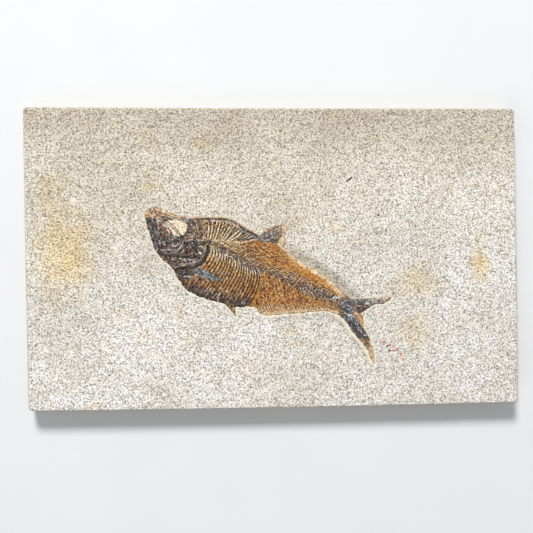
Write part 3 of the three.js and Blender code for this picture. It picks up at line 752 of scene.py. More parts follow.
def lay_dorsal_fin(plan):
    """The fin on the back: grey and golden rays, with a cream rear edge."""
    membrane = [(-8.6, 10), (-4.6, 12.6), (-1, 14.8), (2.6, 15.5), (4.2, 14.2), (3.4, 11.6), (1.2, 8),
                (-1.6, 7.2), (-6, 7.8)]
    plan.patch(membrane, "ash", 0.85, edge=0.4)
    fin = smooth(-8.5, -7, plan.x) * smooth(4.5, 3.5, plan.x) * smooth(6.8, 7.6, plan.y)
    plan.mottle("gold", 0.45, 1.2, 222, within=fin * smooth(-3, 3, plan.x), level=0.05, stretch=(32, 2))
    fan = [(-7.6, 10), (-2, 13.4), (2.6, 15), (3.6, 12), (0.8, 8.2), (-4, 7.8)]
    plan.scatter(fan, 70, "bone ash ash silver gold umber", (0.8, 2.2), (0.28, 0.45), 38, 22)
    for index, share in spaced(DORSAL_RAY_COUNT):
        root = part_way((-7.4, 10.2), (-0.6, 7.2), share)
        tip = part_way((1.6, 15.4), (3.6, 9.8), share)
        middle = (root + tip) / 2 + (0.2, -0.5)
        plan.stroke(shaken([root, middle, tip], 0.1), 0.4, "bone", 0.6, FINE_RISE, ends=(1, 0.4), seed=index)
    rear_edge = [(3.6, 15.6), (6.6, 15.4), (5.4, 12), (4.8, 8), (6, 3), (2.6, 5), (1.4, 7), (3.6, 10.6),
                 (4.6, 13.4)]
    plan.patch(rear_edge, "cream", 0.75, edge=0.5)
    x, y = plan.x, plan.y
    rear_root = smooth(1.5, 3, x) * smooth(7, 5.5, x) * smooth(1, 3, y) * smooth(13, 10, y)
    plan.mottle("gold", 0.6, 1.6, 223, level=0.05, within=rear_root)


def lay_pelvic_fin(plan):
    """The small pointed fin under the belly, dark at its root."""
    fin = [(-26.2, -21.8), (-22, -22.6), (-19.6, -25), (-20, -30.2), (-23, -26.6)]
    plan.patch(fin, "umber", 0.8, edge=0.4)
    plan.patch([(-23.6, -24.6), (-22.2, -24.6), (-21, -27.6), (-22, -27.2)], "gold", 0.7, edge=0.3)
    plan.patch([(-26.6, -21), (-21.4, -22), (-21.8, -24.4), (-23.2, -25.6)], "bone", 0.8, edge=0.4)
    rays = [((-26, -21.8), (-20.6, -29.8)), ((-24.8, -21.8), (-20.2, -29.6)), ((-22.4, -23.2), (-20, -28.4))]
    for index, (root, tip) in enumerate(rays):
        middle = (np.array(root) + tip) / 2 + (-0.3, -0.2)
        plan.stroke([root, middle, tip], 0.5, "bone", 0.7, FINE_RISE, ends=(1.2, 0.3), broken=0.6, seed=index)
        plan.stroke([root, middle + (0.6, 0.3), tip], 0.4, "gold", 0.7, ends=(0.5, 1), broken=0.6,
                    seed=index + 5)


def lay_tail(plan):
    """The forked tail: dark bundles of rays from a dark root, with tan tips and a tan web in the fork."""
    x, y = plan.x, plan.y
    tail = smooth(32, 35, x - 0.25 * (y + 25))
    plan.lay("umber", 0.9 * tail)
    bundles = [(33, -23), (36, -21), (39.5, -21.8), (48, -22.2), (48.4, -24.4), (43, -25.6), (41, -27.6),
               (39, -30), (46.6, -41), (47.6, -43.4), (44, -43.6), (39, -37.6), (34.4, -30.6)]
    plan.patch(bundles, "ash", 0.95, edge=0.5)
    plan.mottle("bone", 0.6, 1.8, 231, within=tail, level=0.15)
    plan.patch([(50, -21.9), (60.4, -20.8), (56, -24.2), (50, -25)], "umber", 0.8, edge=0.5)
    plan.mottle("cream", 0.85, 1.3, 233, within=smooth(48.6, 50.5, x), level=-0.15, stretch=(8, 3))
    lower_tip = [(46.6, -44), (49.2, -44), (50.6, -51), (50.6, -55.6), (47.6, -49)]
    plan.patch(lower_tip, "cream", 0.75, edge=0.5)
    plan.patch(lower_tip, "gold", 0.35, edge=0.5)
    web = [(39.4, -28.4), (43, -29), (45.2, -32), (45.4, -34.8), (44, -36.4), (41.6, -32.4)]
    plan.patch(web, "gold", 0.9, edge=0.4)
    web_area = np.array([(39, -28), (43.4, -28.6), (46, -33), (44.4, -37), (41, -33)])
    plan.mottle("cream", 0.8, 1.3, 234, level=0.0, within=smooth(0, 1, depth_inside(x, y, web_area)))


def lay_tail_rays(plan):
    """The rays, bundle by bundle, each with a greyer gleam beside it."""
    bundles = [  # how many rays, the first and last root, the first and last tip, width and tint
        (9, (35.5, -22.6), (38.6, -24.6), (50, -22.2), (48.6, -24.6), 0.5, "bone"),
        (5, (48, -22.4), (47.6, -24.4), (59.4, -21.4), (55.6, -23.8), 0.3, "umber"),
        (6, (41.4, -26), (42.8, -28.2), (48.4, -25.2), (46.2, -27.4), 0.5, "bone"),
        (9, (34.8, -29.6), (39.4, -28.6), (44.2, -43.4), (47.8, -43), 0.5, "bone"),
        (5, (44.4, -43.2), (47.8, -43), (49.8, -54), (50.4, -52), 0.3, "amber"),
        (5, (40.4, -29.4), (42.4, -28.8), (43.6, -35.6), (45.2, -33), 0.3, "amber"),
    ]
    for count, first_root, last_root, first_tip, last_tip, width, tint in bundles:
        for index, share in spaced(count):
            root, tip = part_way(first_root, last_root, share), part_way(first_tip, last_tip, share)
            line = shaken([root, (root + tip) / 2, tip], 0.12)
            plan.stroke(line, width, tint, 0.7, FINE_RISE, ends=(1, 0.5), seed=index)
            plan.stroke(line + (0.3, 0.4), width * 0.6, "ash", 0.4, ends=(1, 0.3), seed=index)


def lay_tail_splinters(plan):
    """Splinters over the rays: dark on the root and the two lobes, brown and cream towards their tips."""
    root = [(33, -22.6), (40, -22.4), (42, -25), (39.6, -29.4), (35, -30), (32, -27)]
    plan.scatter(root, 90, "bone bone ash ash umber silver", (0.7, 2.2), (0.25, 0.45), -20, 50)
    upper = [(40, -22.4), (47, -22.3), (48.6, -24), (47, -25.4), (43, -25.8)]
    plan.scatter(upper, 45, "bone ash umber ash silver bone", (0.8, 2.6), (0.25, 0.4), 4, 14)
    upper_tip = [(47.6, -21.9), (60.6, -20.8), (56, -24.2), (48, -25.2)]
    plan.patch(upper_tip, "silver", 0.3, edge=0.5)
    plan.scatter(upper_tip, 60, "umber ash gold umber silver", (0.8, 2.6), (0.25, 0.4), 6, 12, strength=0.7)
    lower = [(36, -30.6), (39.6, -29.6), (44, -36), (47.4, -43)]
    plan.scatter(lower, 110, "bone bone ash ash ash ash silver", (0.8, 2.6), (0.25, 0.4), -56, 14)
    lower_tip = [(44, -43), (47.6, -43), (50.2, -54.5), (46.8, -48)]
    plan.scatter(lower_tip, 26, "cream gold cream amber", (0.8, 2.2), (0.3, 0.5), -66, 16)
    darker_left = [(43.6, -42.6), (48, -42.6), (48.2, -44.8), (47.8, -48), (46, -47)]
    plan.patch(darker_left, "umber", 0.75, edge=0.6, ragged=0.6)
    plan.scatter(darker_left, 26, "ash bone umber ash gold", (0.8, 2.2), (0.25, 0.4), -60, 14, strength=0.8)
    plan.patch([(57.6, -20.4), (61.4, -19.8), (60.8, -22), (57.8, -24)], "cream", 0.45, edge=0.8)
    plan.stroke([(35, -26), (36.6, -28), (39, -29.2)], 1.2, "bone", 0.7, BONE_RISE)
    plan.stroke([(36.4, -29.3), (37.6, -29.8), (38.8, -29.4)], 0.9, "silver", 0.95, 0.15)
    plan.stroke([(35.4, -22.4), (37.4, -21.6), (39.2, -22.2)], 0.9, "amber", 0.6)
    plan.stroke([(39.4, -27.6), (41.4, -25.4), (44.6, -24.8)], 0.5, "gold", 0.8)


def make_fish_plan(x, y, depth):
    """The whole fish, laid coat over coat: what is called later covers what is there."""
    plan = Plan(x, y, FISH_TINTS, "umber")
    for lay in (lay_skin, lay_spines, lay_ribs, lay_fan, lay_backbone, lay_rear_arches, lay_anal_fin):
        lay(plan)
    lay_edge(plan, depth)
    for lay in (lay_back_scutes, lay_belly_scutes, lay_head, lay_snout_and_roof, lay_eye_socket, lay_jaws,
                lay_cheek, lay_throat, lay_jaw_band, lay_gill_cover, lay_shoulder, lay_pectoral_fin,
                lay_dorsal_fin, lay_pelvic_fin, lay_tail, lay_tail_rays, lay_tail_splinters, lay_ragged_edge):
        lay(plan)
    return plan


# ------------------------------------------------------------------ meshes


def new_piece(name, points, faces, material, smooth_count):
    """A mesh object from points in metres. The first smooth_count faces are shaded smooth."""
    mesh = bpy.data.meshes.new(name)
    mesh.from_pydata(points.tolist(), [], faces)
    shading = np.zeros(len(mesh.polygons), bool)
    shading[:smooth_count] = True
    mesh.polygons.foreach_set("use_smooth", shading)
    mesh.materials.append(material)
    mesh.update()
    piece = bpy.data.objects.new(name, mesh)
    bpy.context.scene.collection.objects.link(piece)
    return piece


def add_tints(piece, name, columns):
    """Four shares for each point, for an Attribute node to read."""
    attribute = piece.data.attributes.new(name, "FLOAT_COLOR", "POINT")
    attribute.data.foreach_set("color", np.stack(columns, 1).astype(np.float32).ravel())


def grid_faces(kept):
    """The four corners of each cell of a grid, counted row by row, where all four are kept."""
    wide = kept.shape[1]
    row, column = np.nonzero(kept[:-1, :-1] & kept[:-1, 1:] & kept[1:, 1:] & kept[1:, :-1])
    corner = row * wide + column
    return np.stack([corner, corner + 1, corner + wide + 1, corner + wide], 1)


def rings_of(faces, count):
    """The closed border lines of a grid of faces, each in the faces' own direction."""
    after = np.roll(faces, -1, axis=1)
    code = faces.ravel().astype(np.int64) * count + after.ravel()
    opposite = after.ravel().astype(np.int64) * count + faces.ravel()
    border = code[~np.isin(code, opposite)]
    follows = dict(zip((border // count).tolist(), (border % count).tolist()))
    rings = []
    while follows:
        start = min(follows)
        ring, spot = [], start
        while spot in follows:
            ring.append(spot)
            spot = follows.pop(spot)
        rings.append(ring)
    return rings


def closed_below(points, faces, floor):
    """Walls from the border of a grid straight down to a level floor, and the new points at their feet."""
    walls, floors, feet = [], [], []
    for ring in rings_of(faces, len(points)):
        first = len(points) + len(feet)
        feet += [(points[v, 0], points[v, 1], floor) for v in ring]
        for index, here in enumerate(ring):
            after = (index + 1) % len(ring)
            walls.append([here, first + index, first + after, ring[after]])
        floors.append([first + index for index in range(len(ring))][::-1])
    return walls + floors, feet


# ------------------------------------------------------------------ the fish

FISH_GRID = 0.2  # between neighbouring points, in millimetres
FISH_SKIRT = 0.9  # how far the fish's edge reaches outwards under the stone
FISH_FOOT = 1.7  # the fish's underside, below the face
BED_DROP = 0.95  # the bottom of the fish's bed, below the face
EDGE_RISE = 1.05  # the fish's edge, above the bottom of its bed
CROWN_RISE = 0.85  # the thick of the body, above its edge
CROWN_REACH = 11  # how far in from the edge the body is at its thickest


def fish_height(x, y, depth, relief):
    """The skin rises over its edge, then rounds up gently to the thick of the body."""
    inwards = np.clip(depth / CROWN_REACH, 0, 1)
    crown = CROWN_RISE * np.sqrt(1 - (1 - inwards) ** 2)
    skin = -BED_DROP + EDGE_RISE * smooth(-0.55, 0.4, depth) + crown
    dents = 0.16 * fractal(x, y, 9, 301, 2) * smooth(1, 5, depth)
    grain = 0.05 * fractal(x, y, 1.1, 302, 2)
    return skin + dents + grain + relief * smooth(0, 0.6, depth)


def make_fish(material):
    """The fish: a fine grid over its outline, raised by its plan, with straight sides sunk into the stone."""
    margin = FISH_SKIRT + 2 * FISH_GRID
    across = np.arange(fish_low.x / MM - margin, fish_high.x / MM + margin, FISH_GRID)
    up = np.arange(fish_low.y / MM - margin, fish_high.y / MM + margin, FISH_GRID)
    grid_x, grid_y = (side.ravel() for side in np.meshgrid(across, up))
    depth = edge_depth(grid_x, grid_y)
    kept = (depth > -FISH_SKIRT).reshape(len(up), len(across))
    used, faces = np.unique(grid_faces(kept), return_inverse=True)
    faces = faces.reshape(-1, 4)
    x, y, depth = grid_x[used], grid_y[used], depth[used]
    plan = make_fish_plan(x, y, depth)
    height = fish_height(x, y, depth, plan.relief)
    points = np.stack([x * MM, y * MM, FACE + height * MM], 1)
    below, feet = closed_below(points, faces, FACE - FISH_FOOT * MM)
    tints = [np.concatenate([plan.tints[name], np.zeros(len(feet))]) for name in FISH_TINTS]
    piece = new_piece("fish_relief", np.vstack([points, feet]), faces.tolist() + below, material, len(faces))
    add_tints(piece, "tints_a", tints[:4])
    add_tints(piece, "tints_b", tints[4:])
    return piece


# ------------------------------------------------------------------ the slab

# How far each corner is from the box's own, from the front left round by the front right.
OUT_OF_SQUARE = [(0.4, 0.6), (0.8, 0), (-0.4, -0.85), (-0.6, -0.45)]
EDGE_BOW = [0.5, 0.15, -0.1, 0.1]  # how far the front, right, back and left edges bulge
CORNER_REACH = 1.8  # how far a rounded corner runs along each side
TOP_INSET = 0.9  # where the level face begins, in from the sawn side
# The worn arris and the sawn side, from the face down: inset, and height below the face or above the floor.
UPPER_STEPS = [(0.5, -0.1), (0.18, -0.38), (0.02, -0.85)]
LOWER_STEPS = [(0.02, 0.8), (0.2, 0.3), (0.55, 0.0)]
SIDE_ROWS = 9
CORNER_POINTS = 9  # an odd number, so that one is in the middle
SIDE_POINTS = 60
ARRIS_FOOT = -1.5  # the worn arris is uneven down to here
SIDE_INSET = 0.12  # the sawn side, in from the outline, so that its bumps hardly reach past it
SLAB_COLUMNS = 350
SLAB_ROWS = 222
FINE_COLUMNS = (0.22, 0.76)  # where the fish lies, as shares of the length
FINE_ROWS = (0.12, 0.7)  # and of the width
FINE_FADE = 0.12  # over what share the points get sparser again
HALF_SAWN = 0.35  # how far the topmost ring of the worn arris has the look of the sawn side
FINE_RATIO = 1.75  # how much closer the face's points are near the fish than far from it

CHIPS = [  # where, and the three radii of the bite
    ((-125.2, -75.8, -0.2), (2.6, 1.8, 2.2)), ((-98, -76.8, 0.2), (3.4, 1.2, 1.5)),
    ((-31, -77.1, 0.2), (2.2, 1, 1.2)), ((58, -77.2, 0.2), (3.8, 1.2, 1.5)),
    ((126.5, -31, 0.2), (1.2, 2.8, 1.5)), ((125.8, 58, 0.2), (1.1, 2.2, 1.2)),
    ((125, 75.9, 0.2), (1.9, 1.9, 1.9)), ((-126.1, 76.5, 0.2), (2, 2, 2)),
    ((-126.4, 22, 0.2), (1.2, 3.4, 1.5)), ((18, 76.6, 0.3), (2.4, 1.1, 1.1)), ((-58, 76.6, 0.3), (3, 1, 1)),
    ((98, -77, 0.2), (2, 1.1, 1.2)),
]


def side_line(start, end, start_before, end_after, bow):
    """One side, from the middle of one rounded corner to the middle of the next."""
    along = (end - start) / np.hypot(*(end - start))
    back = (start - start_before) / np.hypot(*(start - start_before))
    on = (end_after - end) / np.hypot(*(end_after - end))
    outwards = np.array([along[1], -along[0]])
    t = np.linspace(0, 1, CORNER_POINTS)[:, None]
    mid = CORNER_POINTS // 2

    def rounded(corner, into, out_of):
        first, last = corner - into * CORNER_REACH, corner + out_of * CORNER_REACH
        return (1 - t) ** 2 * first + 2 * t * (1 - t) * corner + t**2 * last

    straight = np.linspace(0, 1, SIDE_POINTS)[1:-1, None]
    begin, finish = start + along * CORNER_REACH, end - along * CORNER_REACH
    middle = begin + (finish - begin) * straight + 4 * bow * straight * (1 - straight) * outwards
    return np.vstack([rounded(start, back, along)[mid:], middle, rounded(end, along, on)[: mid + 1]])


def graded(count, low, high):
    """count + 1 places from 0 to 1, closer together between low and high."""
    fine = np.linspace(0, 1, 4001)
    near = smooth(low - FINE_FADE, low, fine) * smooth(high + FINE_FADE, high, fine)
    total = np.concatenate([[0], np.cumsum(1 + (FINE_RATIO - 1) * near[1:])])
    return np.interp(np.linspace(0, total[-1], count + 1), total, fine)


def slab_rings():
    """The outline as a closed ring of points, its outward normals, and the places of the columns and rows."""
    signs = [(-1, -1), (1, -1), (1, 1), (-1, 1)]
    half = (HALF_LENGTH, HALF_WIDTH)
    corners = [np.array(sign) * half + shift for sign, shift in zip(signs, OUT_OF_SQUARE)]
    columns = graded(SLAB_COLUMNS, *FINE_COLUMNS)
    rows = graded(SLAB_ROWS, *FINE_ROWS)
    places = [columns, rows, 1 - columns[::-1], 1 - rows[::-1]]
    ring = []
    for index in range(4):
        before, start, end, after = (corners[(index + step) % 4] for step in (-1, 0, 1, 2))
        line = side_line(start, end, before, after, EDGE_BOW[index])
        ring.append(place_on(line, places[index])[:-1])
    ring = np.vstack(ring)
    along = np.roll(ring, -1, 0) - np.roll(ring, 1, 0)
    along /= np.hypot(*along.T)[:, None]
    return ring, np.stack([along[:, 1], -along[:, 0]], 1), columns, rows


# The thin ledge of stone left beside the tail's lower lobe.
LEDGE = spline([(31, -30.8), (34, -32.1), (37.4, -37.6), (41.8, -43.1), (46.2, -48.8), (49.4, -55)])
# The groove worked into the stone along the fish's back.
TRENCH = spline([(7.5, 4), (10, 1.5), (17, -2.5), (24, -6), (30, -11), (35, -15.5)])
# The middles of the painted shadows on the stone beside the back and under the belly.
BACK_PAINTED_SHADOW = spline([(8, 2.5), (12, 0.5), (18, -3), (24, -6.6), (30, -11.5), (36, -17.5), (40, -19.4)])
BELLY_PAINTED_SHADOW = spline([(-4, -31), (10, -30), (24, -29.4), (33, -32.4), (41, -43), (46, -51)])

BUMPS = [  # x, y and radius
    (-101, 28.6, 1.5), (-116, 20, 1.1), (-102, 5.4, 0.8), (16, 44.6, 1.0), (18.6, 43.4, 0.8),
    (13.4, 42.4, 0.7), (-84, 41, 0.8), (31, 15, 1.6), (22, -49, 1.7), (28, -41, 1.2), (-70, 20, 0.9),
    (61, -27, 0.8), (96, -33, 0.9), (-12, 33, 0.8), (71, 46, 0.9), (-88, -22, 0.9), (14, -66, 1.3),
    (-34, -61, 1.0),
]


def bumps_at(x, y):
    """How far up each point is on one of the pale grains that stand out of the face, from 0 to 1."""
    rise = np.zeros(x.shape)
    for middle_x, middle_y, radius in BUMPS:
        rise = np.maximum(rise, smooth(1.25, 0.4, np.hypot(x - middle_x, y - middle_y) / radius))
    return rise


def face_height(x, y, depth):
    """The split face: gently uneven, grainy, sunk under the fish, and worked down a little beside it."""
    swell = 0.10 * fractal(x, y, 45, 401, 2)
    pits = 0.11 * fractal(x, y, 3.2, 402, 3)
    bed = -BED_DROP * smooth(-0.35, 0.75, depth)
    trimmed = -0.13 * smooth(-3.2, -0.4, depth)
    trench = -0.38 * smooth(3.6, 0.8, nearest(x, y, TRENCH)[0])
    ledge = 0.25 * smooth(1.2, 0.3, nearest(x, y, LEDGE)[0]) * smooth(0.2, -0.5, depth)
    lip = 0.16 * smooth(-1.7, -0.9, depth) * smooth(-0.2, -0.7, depth)
    outside = smooth(0.9, -0.2, depth)
    return swell + pits + bed + 0.3 * bumps_at(x, y) + (trimmed + trench + ledge + lip) * outside


def bite(points, centre, radii):
    """Points inside a ball-shaped bite are pushed out to its surface."""
    radii = np.array(radii, float)
    away = (points - centre) / radii
    distance = np.maximum(np.linalg.norm(away, axis=1), 1e-6)
    inside = distance < 1
    points[inside] = centre + away[inside] / distance[inside, None] * radii


STAINS = [  # middle, half widths, strength
    ((-106, 3), (15, 23), 0.75), ((-102, 3), (10, 13), 0.95), ((-96, -4), (7, 10), 0.5),
    ((-112, 30), (9, 12), 0.4), ((-114, 40), (5, 4), 0.4), ((-110, -22), (7, 5), 0.15),
    ((-78, -28), (6, 4), 0.2), ((-45, -42), (4, 3), 0.35), ((-15, -55), (9, 6), 0.2),
    ((9, -38), (7, 3), 0.35), ((40, 32), (3, 5), 0.2), ((120, 12), (1.4, 2), 0.5),
    ((72, -47), (3.5, 2.5), 0.4), ((105, -10), (3.4, 2.6), 0.7), ((-65, 62), (4, 2.5), 0.45),
    ((-37, 58), (5, 3), 0.5), ((-62, 36), (4.5, 2.2), 0.5), ((-60, 55), (4, 2), 0.3),
    ((106, -4), (5.5, 8), 0.85), ((107, -12), (5, 3), 0.5), ((105, 8), (3, 4), 0.35),
    ((73, -13), (13, 10), 0.5), ((64, -16), (9, 6), 0.35), ((71, -20), (8, 4), 0.35),
    ((71, -39), (11, 10), 0.4), ((74, -46), (6, 4), 0.3), ((31, 15), (2.4, 5), 0.45),
    ((14, 17), (3, 2.6), 0.4), ((-48, -27), (3, 5), 0.4), ((12, -44), (7, 3), 0.35),
    ((-66, -39), (5, 3), 0.35), ((12, -54), (4, 2.5), 0.25), ((-92, -76), (5, 4), 0.4),
    ((28, -52), (3, 4), 0.2),
]


def stain_at(x, y):
    """The share of yellow stain."""
    stain = np.zeros(x.shape)
    ragged = 0.45 * fractal(x, y, 9, 411, 3)
    for (middle_x, middle_y), (wide, high), strength in STAINS:
        reach = np.hypot((x - middle_x) / wide, (y - middle_y) / high) + ragged
        stain = np.maximum(stain, strength * smooth(1.35, 0.3, reach))
    return stain


def painted_shade_at(x, y, depth):
    """The share of painted shade on the stone: painted shadow beside the fish's back and under its belly,
    painted shade just outside the fish's edge, darker towards the back edge, partly painted shade, and darker
    on the left.
    """
    uneven = 0.8 * fractal(x, y, 3, 412, 2)
    return np.maximum.reduce([
        smooth(4.4, 0.8, nearest(x, y, BACK_PAINTED_SHADOW)[0] + uneven),
        0.4 * smooth(3.4, 0.5, nearest(x, y, BELLY_PAINTED_SHADOW)[0]),
        0.25 * smooth(-2.6, -0.2, depth),
        0.6 * smooth(34, 72, y),
        0.22 * smooth(-30, -60, x) * smooth(0, 25, y),
    ])


def rim_at(x, y, depth):
    """The share of bare cream stone: a line round the fish, the ledge by the tail and the pale grains."""
    rim = smooth(-1.15, -0.75, depth + 0.55 * fractal(x, y, 2.2, 413, 2))
    behind_fin = smooth(-9, -5, x) * above_backbone(x, y)
    rim = rim * (1 - 0.85 * behind_fin * smooth(40, 34, x))
    from_ledge = nearest(x, y, LEDGE)[0] + 0.3 * fractal(x, y, 2, 414, 2)
    ledge = 0.9 * smooth(0.9, 0.35, from_ledge) * smooth(0.3, -0.3, depth)
    return np.maximum.reduce([0.75 * rim, ledge, 0.8 * bumps_at(x, y)])


def face_marks(x, y, depth):
    """Shares of yellow stain, painted shade, cream rim and the cooler white towards the front."""
    cool = smooth(25, -42, y - 32 * smooth(0, 60, x))
    return [stain_at(x, y), painted_shade_at(x, y, depth), rim_at(x, y, depth), cool]


def blended_face(edge, columns, rows):
    """The points of the face, row by row, blended from the ring of points round its edge."""
    first, second = SLAB_COLUMNS, SLAB_COLUMNS + SLAB_ROWS
    front, right = edge[: first + 1], edge[first : second + 1]
    back = edge[second : second + first + 1][::-1]
    left = np.vstack([edge[second + first :], edge[:1]])[::-1]
    u, v = columns[None, :, None], rows[:, None, None]
    flat = (1 - v) * front[None] + v * back[None] + (1 - u) * left[:, None] + u * right[:, None]
    flat -= (1 - u) * (1 - v) * front[0] + u * (1 - v) * front[-1] + (1 - u) * v * back[0] + u * v * back[-1]
    return flat[..., 0].ravel(), flat[..., 1].ravel()


def face_border():
    """Which points of the face lie round its edge, in the order of the slab's ring."""
    wide = SLAB_COLUMNS + 1
    border = list(range(wide))
    border += [row * wide + SLAB_COLUMNS for row in range(1, SLAB_ROWS + 1)]
    border += [SLAB_ROWS * wide + column for column in range(SLAB_COLUMNS - 1, -1, -1)]
    border += [row * wide for row in range(SLAB_ROWS - 1, 0, -1)]
    return border


def side_levels():
    """The inset and the height of each ring of points down the side."""
    low, high = LOWER_STEPS[0][1] - THICKNESS, UPPER_STEPS[-1][1]
    between = [(0.0, high + (low - high) * share) for share in np.linspace(0, 1, SIDE_ROWS)[1:-1]]
    return UPPER_STEPS + between + [(inset, z - THICKNESS) for inset, z in LOWER_STEPS]


def side_ring(ring, normal, inset, z):
    """One ring of points round the side, roughened in long streaks along the stone's layers."""
    around = np.concatenate([[0], np.cumsum(np.hypot(*np.diff(ring, axis=0).T))])
    rough = 0.10 * fractal(around, np.full(len(ring), z * 2.2), 5, 421, 3)
    rough += 0.07 * lattice_noise(np.full(len(ring), z / 1.1), around / 90, 422)
    near_face = z > ARRIS_FOOT
    sag = 0.08 * fractal(ring[:, 0], ring[:, 1], 4, 423, 2) * near_face
    return np.column_stack([ring - normal * (inset + SIDE_INSET - rough)[:, None], z + sag])


def make_slab(material):
    """The plate: a grid for the split face, rings of points down the sawn side, and a flat back."""
    ring, normal, columns, rows = slab_rings()
    x, y = blended_face(ring - normal * TOP_INSET, columns, rows)
    depth = edge_depth(x, y)
    from_edge = np.minimum(HALF_LENGTH - np.abs(x), HALF_WIDTH - np.abs(y)) - TOP_INSET
    height = face_height(x, y, depth) - 0.12 * smooth(1.6, 0, from_edge)
    sides = [side_ring(ring, normal, inset, z) for inset, z in side_levels()]
    faces = grid_faces(np.ones((SLAB_ROWS + 1, SLAB_COLUMNS + 1), bool)).tolist()
    above = face_border()
    for level in range(len(sides)):
        start = len(x) + level * len(ring)
        here = list(range(start, start + len(ring)))
        for index in range(len(ring)):
            after = (index + 1) % len(ring)
            faces.append([above[index], here[index], here[after], above[after]])
        above = here
    smooth_count = len(faces)
    faces.append(above[::-1])
    points = np.vstack([np.stack([x, y, height], 1), *sides])
    for centre, radii in CHIPS:
        bite(points, np.array(centre, float), radii)
    points[:, 2] = np.maximum(points[:, 2], -THICKNESS)
    metres = np.column_stack([points[:, :2] * MM, FACE + points[:, 2] * MM])
    piece = new_piece("slab_stone", metres, faces, material, smooth_count)
    beyond = len(points) - len(x)
    marks = [np.concatenate([share, np.zeros(beyond)]) for share in face_marks(x, y, depth)]
    add_tints(piece, "marks", marks)
    sawn = np.concatenate([np.zeros(len(x)), np.ones(beyond)])
    sawn[len(x) : len(x) + len(ring)] = HALF_SAWN
    attribute = piece.data.attributes.new("sawn", "FLOAT", "POINT")
    attribute.data.foreach_set("value", sawn.astype(np.float32))
    return piece


# ------------------------------------------------------------------ materials

STONE_SHINE = 0.2
BONE_SHINE = 0.18


def tone(red, green, blue):
    """A colour given as it looks on a screen, 0 to 255, in the linear light that shaders use."""
    linear = []
    for level in (red, green, blue):
        level /= 255
        linear.append(level / 12.92 if level <= 0.04045 else ((level + 0.055) / 1.055) ** 2.4)
    return (*linear, 1.0)


class Nodes:
    """A material's node tree, built one node at a time."""

    def __init__(self, name):
        self.material = bpy.data.materials.new(name)
        self.material.use_nodes = True
        self.tree = self.material.node_tree
        self.tree.nodes.clear()
        self.place = self.add("ShaderNodeTexCoord").outputs["Object"]

    def add(self, kind, inputs=None, **settings):
        node = self.tree.nodes.new(kind)
        for name, value in settings.items():
            setattr(node, name, value)
        for name, value in (inputs or {}).items():
            if isinstance(value, bpy.types.NodeSocket):
                self.tree.links.new(value, node.inputs[name])
            else:
                node.inputs[name].default_value = value
        return node

    def noise(self, size_mm, detail=2.0, roughness=0.5, place=None, distortion=0.0):
        """Noise from 0 to 1, with features about size_mm millimetres across."""
        inputs = {"Vector": place or self.place, "Scale": 1 / (size_mm * MM), "Detail": detail,
                  "Roughness": roughness, "Distortion": distortion}
        return self.add("ShaderNodeTexNoise", inputs).outputs["Fac"]

    def ramp(self, value, stops):
        """Colour by value. stops holds each position with its colour."""
        node = self.add("ShaderNodeValToRGB", {"Fac": value})
        elements = node.color_ramp.elements
        while len(elements) < len(stops):
            elements.new(0.5)
        for element, (position, colour) in zip(elements, stops):
            element.position = position
            element.color = colour
        return node.outputs["Color"]

    def between(self, value, low, high, to_low=0.0, to_high=1.0):
        """The value, stretched from low..high to to_low..to_high and kept within them."""
        inputs = {"Value": value, "From Min": low, "From Max": high, "To Min": to_low, "To Max": to_high}
        return self.add("ShaderNodeMapRange", inputs, clamp=True).outputs["Result"]

    def math(self, operation, first, second, third=None):
        inputs = {0: first, 1: second}
        if third is not None:
            inputs[2] = third
        return self.add("ShaderNodeMath", inputs, operation=operation).outputs[0]

    def mix(self, share, first, second, blend="MIX"):
        inputs = {0: share, 6: first, 7: second}
        return self.add("ShaderNodeMix", inputs, data_type="RGBA", blend_type=blend).outputs[2]

    def channels(self, attribute_name):
        """The four shares of a colour attribute."""
        attribute = self.add("ShaderNodeAttribute", attribute_name=attribute_name)
        split = self.add("ShaderNodeSeparateColor", {"Color": attribute.outputs["Color"]})
        return [split.outputs[0], split.outputs[1], split.outputs[2], attribute.outputs["Alpha"]]

    def stretched(self, scale, turn=0.0):
        """The place, squeezed along each axis and turned, for noise that is longer one way."""
        inputs = {"Vector": self.place, "Scale": scale, "Rotation": (0, 0, math.radians(turn))}
        return self.add("ShaderNodeMapping", inputs).outputs["Vector"]

    def surface(self, colour, roughness, height, bump_mm, **sockets):
        """The finished material, with a bump of up to bump_mm millimetres where height is 1."""
        bump = self.add("ShaderNodeBump", {"Height": height, "Distance": bump_mm * MM, "Strength": 1.0})
        shader = self.add("ShaderNodeBsdfPrincipled", {
            "Base Color": colour, "Roughness": roughness, "Normal": bump.outputs["Normal"], **sockets,
        })
        self.add("ShaderNodeOutputMaterial", {"Surface": shader.outputs["BSDF"]})
        return self.material


